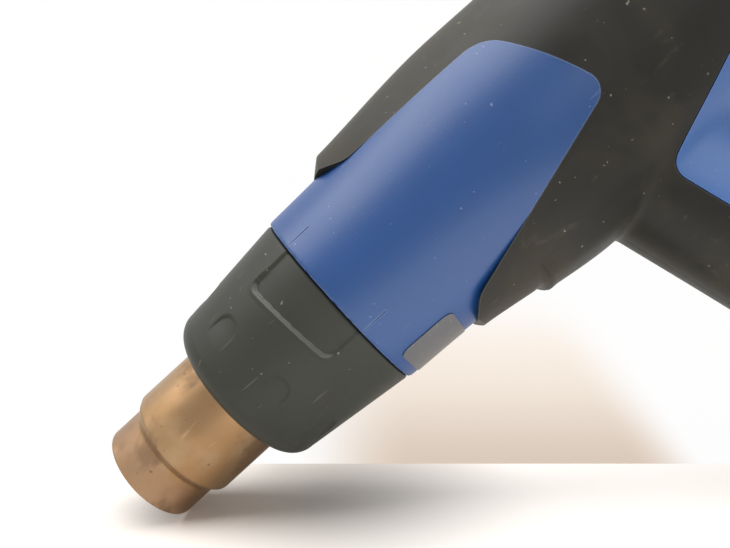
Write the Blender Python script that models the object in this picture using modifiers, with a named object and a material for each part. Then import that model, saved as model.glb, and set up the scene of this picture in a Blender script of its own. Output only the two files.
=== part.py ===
"""Pistol-grip hot-air gun for the workshop, as separate pieces.

The gun stands on its rear ring with the nozzle pointing up. The barrel axis is +Z, the top of
the gun faces +X, the grip runs towards -X and the left side of the gun faces -Y.
All sizes are in metres.
"""

import math

import bmesh
import bpy
from mathutils import Matrix, Vector

MM = 0.001

# Fits
GAP = 0.3 * MM  # clearance between pieces that seat on each other
RUNNING_GAP = 0.6 * MM  # clearance round the fan

# Forms that only cut
OVERRUN = 5.0 * MM  # how far a cutter runs past what it cuts
SIDE_REACH = 60.0 * MM  # from the barrel axis past the widest part of the body
BLOCK_REACH = 400.0 * MM  # half size of a block that holds the whole gun

# Lengths along the barrel, from the rear to the tip
STAND_HEIGHT = 8.7 * MM
BODY_LENGTH = 164.4 * MM
SLEEVE_LENGTH = 44.0 * MM
NOZZLE_PROJECTION = 37.3 * MM

# Barrel of the housing
BODY_TAIL_RADIUS = 38.6 * MM
BODY_BACK_RADIUS = 39.4 * MM
BODY_SWELL_RADIUS = 38.7 * MM
BODY_NECK_RADIUS = 33.6 * MM
BODY_FRONT_RADIUS = 32.7 * MM
BACK_SETBACK = 113.4 * MM  # behind the housing front
SWELL_SETBACK = 73.4 * MM
NECK_SETBACK = 23.4 * MM
FRONT_WALL = 5.4 * MM
FRONT_LAP = 2.0 * MM  # how far the inner layer stays behind the front face
BARREL_SIDES = 32

# Layers of the wall
SOFT_THICKNESS = 2.0 * MM
HARD_THICKNESS = 2.5 * MM
SPLIT_GAP = 0.3 * MM  # between the two halves

# Soft cover: how far its spine and keel stand above the barrel
SPINE_FRONT_RISE = 4.9 * MM
SPINE_SWELL_RISE = 3.2 * MM
KEEL_FRONT_RISE = 2.7 * MM
KEEL_SWELL_RISE = 5.7 * MM
KEEL_STEP = 1.7 * MM
KEEL_STEP_SETBACK = 49.2 * MM
KEEL_STEP_RAMP = 0.4 * MM
SKIN_OVERRUN = 12.0 * MM  # how far the skin runs on past the neck before it is trimmed
TAIL_RISE = 2.0 * MM
SPINE_SETBACK = 19.2 * MM  # from the housing front to the front of the spine
SPINE_SLOPE = 1.16  # fall of the spine's front face, length for each unit of height
RISE_START = 0.55  # cosine of the angle from the spine where the rise begins
RISE_FULL = 0.95

# Window in the soft cover, in side view: (x, distance behind the housing front, corner radius)
WINDOW_MOUTH = (45.0 * MM, -3.0 * MM, 0.0)
WINDOW_TOP_FRONT = (25.2 * MM, 29.4 * MM, 9.0 * MM)
WINDOW_TOP_REAR = (21.6 * MM, 78.4 * MM, 9.0 * MM)
WINDOW_LOW_REAR = (-12.6 * MM, 90.2 * MM, 5.0 * MM)
WINDOW_LOW_FRONT = (-29.6 * MM, 30.9 * MM, 8.0 * MM)
WINDOW_LIP = (-34.0 * MM, 26.6 * MM, 1.0 * MM)
WINDOW_FALL = 13.4 * MM  # from the lip to where the low edge leaves the body

# Grip
GRIP_RAKE = math.radians(13.2)
GRIP_SETBACK = 91.2 * MM  # from the housing front to where the grip meets the barrel axis
GRIP_FRONT = 24.0 * MM
GRIP_BACK = 24.0 * MM
GRIP_HALF_WIDTH = 18.8 * MM
HEEL_FLARE = 2.5 * MM
HEEL_ROUNDING = 1.5 * MM
GRIP_SQUARENESS = 2.6
PANEL_FORWARD = 7.0 * MM  # reach of the rear panel from the centre line
PANEL_REARWARD = 54.0 * MM
PANEL_TOP = 38.4 * MM  # from the barrel axis, at the panel's front edge
PANEL_TOP_REAR = 28.0 * MM
PANEL_TOP_ROUNDING = 6.0 * MM
PANEL_HEEL_ROUNDING = 9.0 * MM
PANEL_HEEL_SHARE = 0.78  # share of the reach, at the panel's front edge
PANEL_HEEL_REAR_SHARE = 0.84
GRIP_SIDES = 24

# Sides of round pieces
ROUND_SIDES = 24
SMALL_SIDES = 12
PIN_SIDES = 16

# Nozzle
NOZZLE_TIP_RADIUS = 17.0 * MM
NOZZLE_TIP_LENGTH = 11.0 * MM
NOZZLE_BODY_RADIUS = 19.5 * MM
NOZZLE_WALL = 1.0 * MM
NOZZLE_SHOULDER = 2.5 * MM
NOZZLE_FLANGE_RADIUS = 26.0 * MM
NOZZLE_FLANGE = 1.2 * MM

# Protective sleeve and the spigot that carries it
SLEEVE_REAR_RADIUS = 32.2 * MM
SLEEVE_FRONT_RADIUS = 28.3 * MM
SLEEVE_ROUNDING = 7.0 * MM
SLEEVE_WALL = 2.0 * MM
SLEEVE_CLEARANCE = 1.3 * MM  # round the nozzle
SPIGOT_LENGTH = 7.0 * MM
SPIGOT_WALL = 2.0 * MM
SPIGOT_ROOT = 2.5 * MM  # depth of the spigot in the front wall
SLEEVE_SEAT = 2.0 * MM  # from the spigot's front to the ledge in the sleeve

# Insulator between nozzle and housing
INSULATOR_WALL = 1.6 * MM
INSULATOR_FLANGE = 4.0 * MM

# Heater
HEATER_BASE = 6.0 * MM
HEATER_BASE_RADIUS = 25.0 * MM
PORT_OFFSET = 11.0 * MM
PORT_RADIUS = 5.2 * MM
MICA_WALL = 0.8 * MM
MICA_LENGTH = 73.0 * MM
CORE_LENGTH = 70.0 * MM
CORE_PLATE = 2.0 * MM
CORE_RING = 1.6 * MM
CORE_RING_BORE = 0.72  # share of the ring's outer radius
CORE_RING_LIFT = 0.2 * MM
COIL_RADIUS = 14.2 * MM
COIL_WIRE_RADIUS = 0.8 * MM
COIL_TURNS = 6
COIL_POINTS_PER_TURN = 24
COIL_START = math.radians(20.0)
PROBE_RADIUS = 0.9 * MM
PROBE_OFFSET = 2.8 * MM
PROBE_LENGTH = 75.0 * MM
CUTOUT_RADIUS = 2.6 * MM
CUTOUT_LENGTH = 8.0 * MM
CUTOUT_OFFSET = 7.0 * MM

# Air duct, fan and motor
DUCT_WALL = 1.2 * MM
DUCT_FRONT_RADIUS = 20.5 * MM
DUCT_FLANGE = 2.5 * MM
DUCT_STRAIGHT = 24.0 * MM
DUCT_NECK = 5.0 * MM
DUCT_LENGTH = 57.3 * MM
FAN_RADIUS = 25.4 * MM
FAN_HUB_RADIUS = 8.0 * MM
FAN_LENGTH = 14.0 * MM
FAN_OFFSET = 3.5 * MM  # from the duct's rear face to the fan
FAN_BLADES = 9
BLADE_CHORD = 12.0 * MM
BLADE_THICKNESS = 1.2 * MM
BLADE_PITCH = math.radians(40.0)
SHAFT_RADIUS = 1.6 * MM
SHAFT_END = 2.0 * MM  # past the fan and past the motor cap
MOTOR_RADIUS = 17.5 * MM
MOTOR_LENGTH = 44.0 * MM
MOTOR_CAP_LENGTH = 6.0 * MM
MOTOR_CAP_STEP = 1.0 * MM
MOTOR_INSET = 1.0 * MM  # behind the front of its mount
MOTOR_NOSE = 2.0 * MM
MOTOR_CHAMFER = 1.0 * MM
ISOLATOR_WALL = 1.4 * MM
MOUNT_LENGTH = 7.7 * MM
MOUNT_RING = 2.0 * MM
MOUNT_STEP = 0.5 * MM  # from the rim's faces to the seat, and from the seat to the arms
MOUNT_ARM_WIDTH = 5.0 * MM
LEAD_NOTCH_HALF_WIDTH = 6.5 * MM
LEAD_NOTCH_RADIUS = 28.0 * MM

# Rear of the barrel
STAND_RADIUS = 43.5 * MM
STAND_BORE = 31.0 * MM
STAND_LIP = 5.7 * MM
STAND_ROUNDING = 2.0 * MM
GRILLE_THICKNESS = 4.0 * MM
GRILLE_SLOTS = 16
GRILLE_SLOT_WIDTH = 3.0 * MM
GRILLE_HUB = 11.0 * MM
GRILLE_RIM = 4.0 * MM
GRILLE_FOOT = 9.0 * MM  # radius of the boss that stands on the floor with the ring
SCREEN_THICKNESS = 0.7 * MM
SCREEN_MESH = 10.0 * MM
SCREEN_WIRE = 2.0 * MM
SCREEN_RIM = 2.0 * MM

# Controls, measured along the grip from the barrel axis
PANEL_START = 50.0 * MM
PANEL_MARGIN = 0.5 * MM  # from the switch to the panel's lower end
PANEL_HALF_WIDTH = 9.2 * MM
PANEL_THICKNESS = 3.0 * MM
PANEL_PROUD = 0.6 * MM
DIAL_INSET = 13.5 * MM  # from the panel's upper end to the dial's centre
DIAL_RADIUS = 10.5 * MM
DIAL_HALF_WIDTH = 3.0 * MM
DIAL_PROUD = 1.8 * MM
DIAL_TEETH = 24
DIAL_TOOTH = 0.5 * MM
DIAL_SHAFT_RADIUS = 2.5 * MM
DIAL_SHAFT_END = 1.0 * MM
POT_SIZE = 10.0 * MM
POT_THICKNESS = 5.0 * MM
CONTROL_SPACING = 1.5 * MM  # between the dial and the switch
ROCKER_HALF_LENGTH = 6.4 * MM
ROCKER_HALF_WIDTH = 5.2 * MM
ROCKER_PROUD = 2.0 * MM
ROCKER_DEPTH = 9.0 * MM  # from the panel's outer face to the pivot
ROCKER_SWING = 1.6 * MM  # room for the tilt at each end
ROCKER_DISH = 1.0 * MM
ROCKER_EDGE = 0.6 * MM
ROCKER_TAPER = 0.4 * MM
ROCKER_WAIST = 1.5 * MM  # from the pivot to the foot of the paddles
ROCKER_HEEL = 2.6 * MM
ROCKER_HEEL_ROUNDING = 1.0 * MM
ROCKER_PIN_RADIUS = 1.0 * MM
SWITCH_HALF_LENGTH = 10.5 * MM
SWITCH_HALF_WIDTH = 8.0 * MM
SWITCH_DEPTH = 15.0 * MM
SWITCH_POCKET = 0.7  # share of the depth

# Electrics in the grip
BOARD_START = 49.0 * MM
BOARD_LENGTH = 68.0 * MM
BOARD_BACK = 11.0 * MM
BOARD_FRONT = 10.0 * MM
BOARD_THICKNESS = 1.6 * MM
BOARD_POST_RADIUS = 3.0 * MM
BOARD_POST_INSET = 30.0 * MM  # from the board's upper end
BOARD_POST_MARGIN = 6.0 * MM  # from the board's lower end
SINK_INSET = 13.0 * MM  # from the board's upper end
SINK_LENGTH = 18.0 * MM
SINK_WIDTH = 9.0 * MM
SINK_HEIGHT = 12.0 * MM
SINK_FINS = 4
SINK_BASE = 3.0 * MM
CAPACITOR_INSET = 53.0 * MM  # from the board's upper end
CAPACITOR_RADIUS = 5.0 * MM
CAPACITOR_LENGTH = 12.0 * MM
TERMINAL_SPACING = 5.0 * MM  # below the board
TERMINAL_LENGTH = 14.0 * MM
TERMINAL_HALF_DEPTH = 9.0 * MM
TERMINAL_WIDTH = 19.0 * MM
CLAMP_SPACING = 9.5 * MM  # below the terminal block
CLAMP_LENGTH = 7.0 * MM
CLAMP_HALF_SPAN = 11.0 * MM
CLAMP_THICKNESS = 3.0 * MM
CLAMP_POST_SPACING = 7.8 * MM
CLAMP_POST_RADIUS = 2.8 * MM
CORD_CHANNEL = 4.2 * MM  # bore for the supply cord
GLAND_SPACING = 14.1 * MM  # from the clamp to the end of the grip
GLAND_WALL = 2.3 * MM
GLAND_FLANGE = 1.6 * MM
GLAND_FLANGE_LENGTH = 3.0 * MM
GLAND_CHAMFER = 1.0 * MM
LEAD_RADIUS = 1.0 * MM
LEAD_TAIL = 4.0 * MM  # length of a lead that lies on the board
LEAD_BEND = 5.5 * MM  # from the board's end to a lead's first bend
HEATER_LEAD_BACK = 2.5 * MM  # place on the board, behind the grip's centre line
HEATER_LEAD_SPREAD = 2.0 * MM
HEATER_LEAD_RUN = 8.0 * MM  # straight run before and after the notches
HEATER_LEAD_DROP = 4.0 * MM
MOTOR_LEAD_BACK = 8.0 * MM
MOTOR_LEAD_SPREAD = 1.6 * MM
MOTOR_LEAD_HALF_PITCH = 4.0 * MM
MOTOR_LEAD_LOOP = 6.0 * MM

# Screws: places along the barrel are (x, height), places on the grip are (along, forward)
SCREW_RADIUS = 1.45 * MM
SCREW_HEAD_RADIUS = 2.8 * MM
SCREW_HEAD = 2.2 * MM
SCREW_LENGTH = 16.0 * MM
SCREW_POINT = 1.5 * MM
SCREW_ROOM = 1.0 * MM  # beyond each end of a screw hole
SCREW_SEAT = 7.0 * MM  # from the split to the seat of the head
BOSS_WALL = 1.0 * MM
SPINE_SCREW_RADIUS = 31.6 * MM
SPINE_SCREW_SETBACK = 65.0 * MM
TAIL_SCREW_RADIUS = 30.0 * MM
TAIL_SCREW_HEIGHT = 26.0 * MM
GRIP_SCREW_FORWARD = 15.6 * MM
GRIP_SCREW_ALONG_1 = 60.0 * MM
GRIP_SCREW_ALONG_2 = 118.0 * MM
HEEL_SCREW_BACKWARD = 15.0 * MM
HEEL_SCREW_INSET = 25.6 * MM  # from the end of the grip
CLAMP_SCREW_RADIUS = 1.2 * MM
CLAMP_SCREW_HEAD_RADIUS = 2.4 * MM
CLAMP_SCREW_HEAD = 1.6 * MM
CLAMP_SCREW_LENGTH = 9.0 * MM

# Heights that follow from the stack
HOUSING_REAR = STAND_HEIGHT + GAP
HOUSING_FRONT = HOUSING_REAR + BODY_LENGTH
SLEEVE_REAR = HOUSING_FRONT + GAP
SLEEVE_FRONT = SLEEVE_REAR + SLEEVE_LENGTH
NOZZLE_TIP = SLEEVE_FRONT + NOZZLE_PROJECTION
CAVITY_FRONT = HOUSING_FRONT - FRONT_WALL
INSULATOR_REAR = CAVITY_FRONT - GAP - INSULATOR_FLANGE
NOZZLE_REAR = INSULATOR_REAR - GAP - NOZZLE_FLANGE
HEATER_FRONT = NOZZLE_REAR - GAP
HEATER_REAR = HEATER_FRONT - HEATER_BASE
DUCT_FRONT = HEATER_REAR - GAP
DUCT_REAR = DUCT_FRONT - DUCT_LENGTH
MOUNT_FRONT = DUCT_REAR - GAP
MOUNT_REAR = MOUNT_FRONT - MOUNT_LENGTH
MOTOR_FRONT = MOUNT_FRONT - MOTOR_INSET
MOTOR_REAR = MOTOR_FRONT - MOTOR_LENGTH
FAN_REAR = DUCT_REAR + FAN_OFFSET
GRIP_HEIGHT = HOUSING_FRONT - GRIP_SETBACK

RECESS_INSET = SOFT_THICKNESS + GAP
CAVITY_INSET = RECESS_INSET + HARD_THICKNESS
NOZZLE_BORE = NOZZLE_BODY_RADIUS - NOZZLE_WALL
PANEL_FACE = GRIP_BACK + PANEL_PROUD
DIAL_ALONG = PANEL_START + DIAL_INSET
ROCKER_ALONG = DIAL_ALONG + DIAL_RADIUS + CONTROL_SPACING + SWITCH_HALF_LENGTH
PANEL_LENGTH = ROCKER_ALONG + SWITCH_HALF_LENGTH + PANEL_MARGIN - PANEL_START
DIAL_BACK = PANEL_FACE + DIAL_PROUD - DIAL_RADIUS
ROCKER_BACK = PANEL_FACE - ROCKER_DEPTH
BOARD_END = BOARD_START + BOARD_LENGTH
BOARD_POST_ALONG_1 = BOARD_START + BOARD_POST_INSET
BOARD_POST_ALONG_2 = BOARD_END - BOARD_POST_MARGIN
SINK_ALONG = BOARD_START + SINK_INSET
CAPACITOR_ALONG = BOARD_START + CAPACITOR_INSET
TERMINAL_ALONG = BOARD_END + TERMINAL_SPACING + TERMINAL_LENGTH / 2
TERMINAL_END = TERMINAL_ALONG + TERMINAL_LENGTH / 2
CLAMP_ALONG = TERMINAL_END + CLAMP_SPACING + CLAMP_LENGTH / 2
GRIP_REACH = CLAMP_ALONG + CLAMP_LENGTH / 2 + GLAND_SPACING  # from the barrel axis to the grip's end
HEEL_SCREW_ALONG = GRIP_REACH - HEEL_SCREW_INSET
BOSS_RADIUS = SCREW_HEAD_RADIUS + GAP + BOSS_WALL
BOARD_FACE = DIAL_HALF_WIDTH + 2 * GAP + POT_THICKNESS + GAP

# Local frame of the grip: +X runs up to the barrel, +Z faces forward, +Y to the right
GRIP_FRAME = Matrix.Translation((0.0, 0.0, GRIP_HEIGHT)) @ Matrix.Rotation(-GRIP_RAKE, 4, "Y")
SIDE_FRAME = Matrix.Rotation(math.radians(90.0), 4, "X")

BODY_STATIONS = (
    (HOUSING_REAR, BODY_TAIL_RADIUS),
    (HOUSING_FRONT - BACK_SETBACK, BODY_BACK_RADIUS),
    (HOUSING_FRONT - SWELL_SETBACK, BODY_SWELL_RADIUS),
    (HOUSING_FRONT - NECK_SETBACK, BODY_NECK_RADIUS),
    (HOUSING_FRONT, BODY_FRONT_RADIUS),
)

# Sections of the grip: share of its reach, then additions to front, back and half width
GRIP_STATIONS = (
    (0.07, 1.0 * MM, 4.0 * MM, 4.0 * MM),
    (0.25, 0.0, 1.0 * MM, 1.0 * MM),
    (0.42, 0.0, 0.0, 0.0),
    (0.63, 0.0, 0.0, 0.4 * MM),
    (0.84, 0.0, 1.0 * MM, 0.8 * MM),
    (0.94, 0.5 * MM, HEEL_FLARE, HEEL_FLARE),
)

PARTS = bpy.data.collections.new("hot_air_gun")
CUTTERS = bpy.data.collections.new("cutters")


def interpolate(table, position, column):
    """Straight-line value of one column of a table whose first column rises."""
    if position <= table[0][0]:
        return table[0][column]
    for low, high in zip(table, table[1:]):
        if position <= high[0]:
            share = (position - low[0]) / (high[0] - low[0])
            return low[column] + share * (high[column] - low[column])
    return table[-1][column]


def body_radius(height):
    return interpolate(BODY_STATIONS, height, 1)


def cavity_radius(low, high):
    """Smallest radius of the barrel's cavity between two heights."""
    heights = [low, high] + [station[0] for station in BODY_STATIONS if low < station[0] < high]
    return min(body_radius(height) for height in heights) - CAVITY_INSET


def grip_section(along, inset):
    """Front, back and half width of the grip at a distance from the barrel axis."""
    share = along / GRIP_REACH
    front = GRIP_FRONT + interpolate(GRIP_STATIONS, share, 1) - inset
    back = GRIP_BACK + interpolate(GRIP_STATIONS, share, 2) - inset
    width = GRIP_HALF_WIDTH + interpolate(GRIP_STATIONS, share, 3) - inset
    return front, back, width


def grip_half_width(along, forward, inset):
    """Half width of the grip at a distance forward of its centre line."""
    front, back, width = grip_section(along, inset)
    depth = front if forward > 0.0 else back
    share = min(abs(forward) / depth, 1.0)
    return width * (1.0 - share**GRIP_SQUARENESS) ** (1.0 / GRIP_SQUARENESS)


def material(name, colour, roughness, metallic=0.0):
    shader = bpy.data.materials.new(name)
    shader.use_nodes = True
    principled = shader.node_tree.nodes["Principled BSDF"]
    principled.inputs["Base Color"].default_value = (*colour, 1.0)
    principled.inputs["Roughness"].default_value = roughness
    principled.inputs["Metallic"].default_value = metallic
    return shader


def part(piece, shader, parent=None, matrix=None):
    """Put a finished piece into the gun's collection with its material."""
    PARTS.objects.link(piece)
    piece.data.materials.clear()
    piece.data.materials.append(shader)
    if parent is not None:
        piece.parent = parent
    if matrix is not None:
        piece.matrix_local = matrix
    return piece


def cutter(tool):
    """Keep a form that only shapes other pieces out of the render."""
    CUTTERS.objects.link(tool)
    tool.hide_render = True
    tool.display_type = "WIRE"
    return tool


def boolean(target, tool, operation):
    modifier = target.modifiers.new(tool.name, "BOOLEAN")
    modifier.operation = operation
    modifier.object = tool
    modifier.solver = "EXACT"
    return target


def solid(name, bm):
    """Turn a bmesh into an object."""
    bmesh.ops.recalc_face_normals(bm, faces=bm.faces)
    mesh = bpy.data.meshes.new(name)
    bm.to_mesh(mesh)
    bm.free()
    return bpy.data.objects.new(name, mesh)


def add_box(bm, low, high, frame=Matrix()):
    size = Vector(high) - Vector(low)
    centre = (Vector(high) + Vector(low)) / 2
    matrix = frame @ Matrix.Translation(centre) @ Matrix.Diagonal((*size, 1.0))
    bmesh.ops.create_cube(bm, size=1.0, matrix=matrix)


def add_rod(bm, start, end, radius, frame=Matrix(), sides=ROUND_SIDES):
    direction = Vector(end) - Vector(start)
    turn = direction.to_track_quat("Z", "Y").to_matrix().to_4x4()
    matrix = frame @ Matrix.Translation((Vector(start) + Vector(end)) / 2) @ turn
    bmesh.ops.create_cone(
        bm,
        cap_ends=True,
        segments=sides,
        radius1=radius,
        radius2=radius,
        depth=direction.length,
        matrix=matrix,
    )


def box(name, low, high):
    bm = bmesh.new()
    add_box(bm, low, high)
    return solid(name, bm)


def rod(name, start, end, radius, sides=ROUND_SIDES):
    bm = bmesh.new()
    add_rod(bm, start, end, radius, sides=sides)
    return solid(name, bm)


def turned(name, profile, closed=True, sides=BARREL_SIDES):
    """Turn an outline of (radius, height) points about Z; its outer side runs downwards."""
    count = len(profile)
    points = [(radius, 0.0, height) for radius, height in profile]
    edges = [(index, index + 1) for index in range(count - 1)]
    if closed:
        edges.append((count - 1, 0))
    mesh = bpy.data.meshes.new(name)
    mesh.from_pydata(points, edges, [])
    piece = bpy.data.objects.new(name, mesh)
    screw = piece.modifiers.new("turn", "SCREW")
    screw.steps = sides
    screw.render_steps = sides
    screw.use_merge_vertices = True
    screw.merge_threshold = 0.01 * MM
    return piece


def arc(centre, radius, start, end, steps):
    """Points on an arc, with the angles in degrees."""
    points = []
    for index in range(steps + 1):
        angle = math.radians(start + (end - start) * index / steps)
        points.append((centre[0] + radius * math.cos(angle), centre[1] + radius * math.sin(angle)))
    return points


def rounded(corners, steps=5):
    """Outline through corners given as (a, b, radius), each rounded by an arc."""
    points = []
    for index, (a, b, radius) in enumerate(corners):
        corner = Vector((a, b))
        if radius == 0.0:
            points.append(corner)
            continue
        before = (Vector(corners[index - 1][:2]) - corner).normalized()
        after = (Vector(corners[(index + 1) % len(corners)][:2]) - corner).normalized()
        half = before.angle(after) / 2
        centre = corner + (before + after).normalized() * radius / math.sin(half)
        spoke = corner + before * radius / math.tan(half) - centre
        sweep = spoke.angle_signed(corner + after * radius / math.tan(half) - centre)
        for step in range(steps + 1):
            turn = Matrix.Rotation(-sweep * step / steps, 2)
            points.append(centre + turn @ spoke)
    return points


def shrunk(outline, distance):
    """Outline moved inwards by a distance."""
    count = len(outline)
    area = sum(outline[i - 1].cross(outline[i]) for i in range(count))
    inward = 1.0 if area > 0.0 else -1.0
    points = []
    for index, point in enumerate(outline):
        before = (point - outline[index - 1]).normalized()
        after = (outline[(index + 1) % count] - point).normalized()
        along = (before + after).normalized()
        normal = Vector((-along.y, along.x)) * inward
        points.append(point + normal * distance / max(along.dot(before), 0.3))
    return points


def prism(name, outline, half_thickness, frame):
    """Flat outline with a thickness, as a mesh placed by a frame."""
    curve = bpy.data.curves.new(name, "CURVE")
    curve.dimensions = "2D"
    curve.fill_mode = "BOTH"
    curve.extrude = half_thickness
    spline = curve.splines.new("POLY")
    spline.points.add(len(outline) - 1)
    for place, point in zip(spline.points, outline):
        place.co = (point[0], point[1], 0.0, 1.0)
    spline.use_cyclic_u = True
    flat = bpy.data.objects.new(name + "_outline", curve)
    mesh = bpy.data.meshes.new_from_object(flat)
    bpy.data.objects.remove(flat)
    bm = bmesh.new()
    bm.from_mesh(mesh)
    bpy.data.meshes.remove(mesh)
    bmesh.ops.remove_doubles(bm, verts=bm.verts, dist=0.01 * MM)
    bmesh.ops.transform(bm, matrix=frame, verts=bm.verts)
    return solid(name, bm)


def tube(name, points, radius, smooth):
    """Round tube along points, with closed ends."""
    curve = bpy.data.curves.new(name, "CURVE")
    curve.dimensions = "3D"
    curve.bevel_depth = radius
    curve.bevel_resolution = 1
    curve.use_fill_caps = True
    curve.resolution_u = 4
    if smooth:
        spline = curve.splines.new("BEZIER")
        spline.bezier_points.add(len(points) - 1)
        for place, point in zip(spline.bezier_points, points):
            place.co = point
            place.handle_left_type = "AUTO"
            place.handle_right_type = "AUTO"
    else:
        spline = curve.splines.new("POLY")
        spline.points.add(len(points) - 1)
        for place, point in zip(spline.points, points):
            place.co = (*point, 1.0)
    return bpy.data.objects.new(name, curve)


def loft(name, rings):
    """Closed skin through rings of points with the same count."""
    bm = bmesh.new()
    loops = [[bm.verts.new(point) for point in ring] for ring in rings]
    for lower, upper in zip(loops, loops[1:]):
        for index in range(len(lower)):
            following = (index + 1) % len(lower)
            bm.faces.new((lower[index], lower[following], upper[following], upper[index]))
    bm.faces.new(loops[0])
    bm.faces.new(loops[-1])
    return solid(name, bm)


def barrel_ring(height, radius, spine_rise, keel_rise):
    points = []
    for index in range(BARREL_SIDES):
        angle = 2.0 * math.pi * index / BARREL_SIDES
        towards = math.cos(angle)
        share = (abs(towards) - RISE_START) / (RISE_FULL - RISE_START)
        share = min(max(share, 0.0), 1.0)
        share = share * share * (3.0 - 2.0 * share)
        reach = radius + share * (spine_rise if towards > 0.0 else keel_rise)
        points.append((reach * math.cos(angle), reach * math.sin(angle), height))
    return points


def grip_ring(along, front, back, width):
    points = []
    for index in range(GRIP_SIDES):
        angle = 2.0 * math.pi * index / GRIP_SIDES
        sideways = math.copysign(abs(math.cos(angle)) ** (2.0 / GRIP_SQUARENESS), math.cos(angle))
        forward = math.copysign(abs(math.sin(angle)) ** (2.0 / GRIP_SQUARENESS), math.sin(angle))
        depth = front if forward > 0.0 else back
        points.append(GRIP_FRAME @ Vector((-along, width * sideways, depth * forward)))
    return points


def grip_form(name, inset):
    rings = []
    for station in GRIP_STATIONS:
        along = station[0] * GRIP_REACH
        rings.append(grip_ring(along, *grip_section(along, inset)))
    front, back, width = grip_section(GRIP_REACH, inset)
    rings.append(grip_ring(GRIP_REACH - HEEL_ROUNDING - inset, front, back, width))
    trim = HEEL_ROUNDING
    rings.append(grip_ring(GRIP_REACH - inset, front - trim, back - trim, width - trim))
    return cutter(loft(name, rings))


def body_form(name, inset, rear, front):
    """Barrel and grip as one solid, set in from the outer surface."""
    heights = [rear] + [station[0] for station in BODY_STATIONS if rear < station[0] < front] + [front]
    rings = [barrel_ring(height, body_radius(height) - inset, 0.0, 0.0) for height in heights]
    barrel = cutter(loft(name, rings))
    return boolean(barrel, grip_form(name + "_grip", inset), "UNION")


def soft_form(name):
    """Outer surface of the soft cover, with its spine and keel."""
    step = HOUSING_FRONT - KEEL_STEP_SETBACK
    swell = HOUSING_FRONT - SWELL_SETBACK
    neck = HOUSING_FRONT - NECK_SETBACK
    share = (step - swell) / (neck - swell)
    spine = SPINE_SWELL_RISE + share * (SPINE_FRONT_RISE - SPINE_SWELL_RISE)
    keel = KEEL_SWELL_RISE + share * (KEEL_FRONT_RISE + KEEL_STEP - KEEL_SWELL_RISE)
    ramp = KEEL_STEP_RAMP
    end = neck + SKIN_OVERRUN
    rings = [
        barrel_ring(HOUSING_REAR, BODY_TAIL_RADIUS, TAIL_RISE, TAIL_RISE),
        barrel_ring(HOUSING_FRONT - BACK_SETBACK, BODY_BACK_RADIUS, TAIL_RISE, TAIL_RISE),
        barrel_ring(swell, BODY_SWELL_RADIUS, SPINE_SWELL_RISE, KEEL_SWELL_RISE),
        barrel_ring(step - ramp, body_radius(step - ramp), spine, keel),
        barrel_ring(step + ramp, body_radius(step + ramp), spine, keel - KEEL_STEP),
        barrel_ring(neck, BODY_NECK_RADIUS, SPINE_FRONT_RISE, KEEL_FRONT_RISE),
        barrel_ring(end, body_radius(end), SPINE_FRONT_RISE, KEEL_FRONT_RISE),
    ]
    skin = cutter(loft(name, rings))
    return boolean(skin, grip_form(name + "_grip", 0.0), "UNION")


def barrel_window():
    """Side view of the hard shell that the soft cover leaves bare, as (x, height)."""
    reach = SIDE_REACH
    outside = -SIDE_REACH
    corners = (
        WINDOW_MOUTH,
        WINDOW_TOP_FRONT,
        WINDOW_TOP_REAR,
        WINDOW_LOW_REAR,
        WINDOW_LOW_FRONT,
        WINDOW_LIP,
        (-reach, WINDOW_LIP[1] + WINDOW_FALL, 0.0),
        (-reach, outside, 0.0),
        (reach, outside, 0.0),
        (reach, WINDOW_MOUTH[1], 0.0),
    )
    return rounded([(x, HOUSING_FRONT - behind, radius) for x, behind, radius in corners])


def grip_window():
    """Side view of the grip's rear panel, as (up the grip, forward)."""
    corners = (
        (-PANEL_TOP, PANEL_FORWARD, PANEL_TOP_ROUNDING),
        (-PANEL_HEEL_SHARE * GRIP_REACH, PANEL_FORWARD, PANEL_HEEL_ROUNDING),
        (-PANEL_HEEL_REAR_SHARE * GRIP_REACH, -PANEL_REARWARD, 0.0),
        (-PANEL_TOP_REAR, -PANEL_REARWARD, 0.0),
    )
    return rounded(corners)


def half_space(name, side):
    """Large block on one side of the split."""
    reach = BLOCK_REACH
    near = side * SPLIT_GAP / 2
    far = side * reach
    return box(name, (-reach, min(near, far), -reach), (reach, max(near, far), reach))


def whole_space(name):
    """Block that holds the whole gun, from which a form is trimmed."""
    reach = BLOCK_REACH
    return cutter(box(name, (-reach, -reach, -reach), (reach, reach, reach)))


def screw_places():
    """Screws through the two halves, as frames whose origin lies on the split."""
    spots = [
        (SPINE_SCREW_RADIUS, HOUSING_FRONT - SPINE_SCREW_SETBACK),
        (TAIL_SCREW_RADIUS, TAIL_SCREW_HEIGHT),
        (-TAIL_SCREW_RADIUS, TAIL_SCREW_HEIGHT),
    ]
    places = [Vector((x, 0.0, height)) for x, height in spots]
    grip_spots = [
        (GRIP_SCREW_ALONG_1, GRIP_SCREW_FORWARD),
        (GRIP_SCREW_ALONG_2, GRIP_SCREW_FORWARD),
        (HEEL_SCREW_ALONG, -HEEL_SCREW_BACKWARD),
    ]
    places += [GRIP_FRAME @ Vector((-along, 0.0, forward)) for along, forward in grip_spots]
    return places


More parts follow.
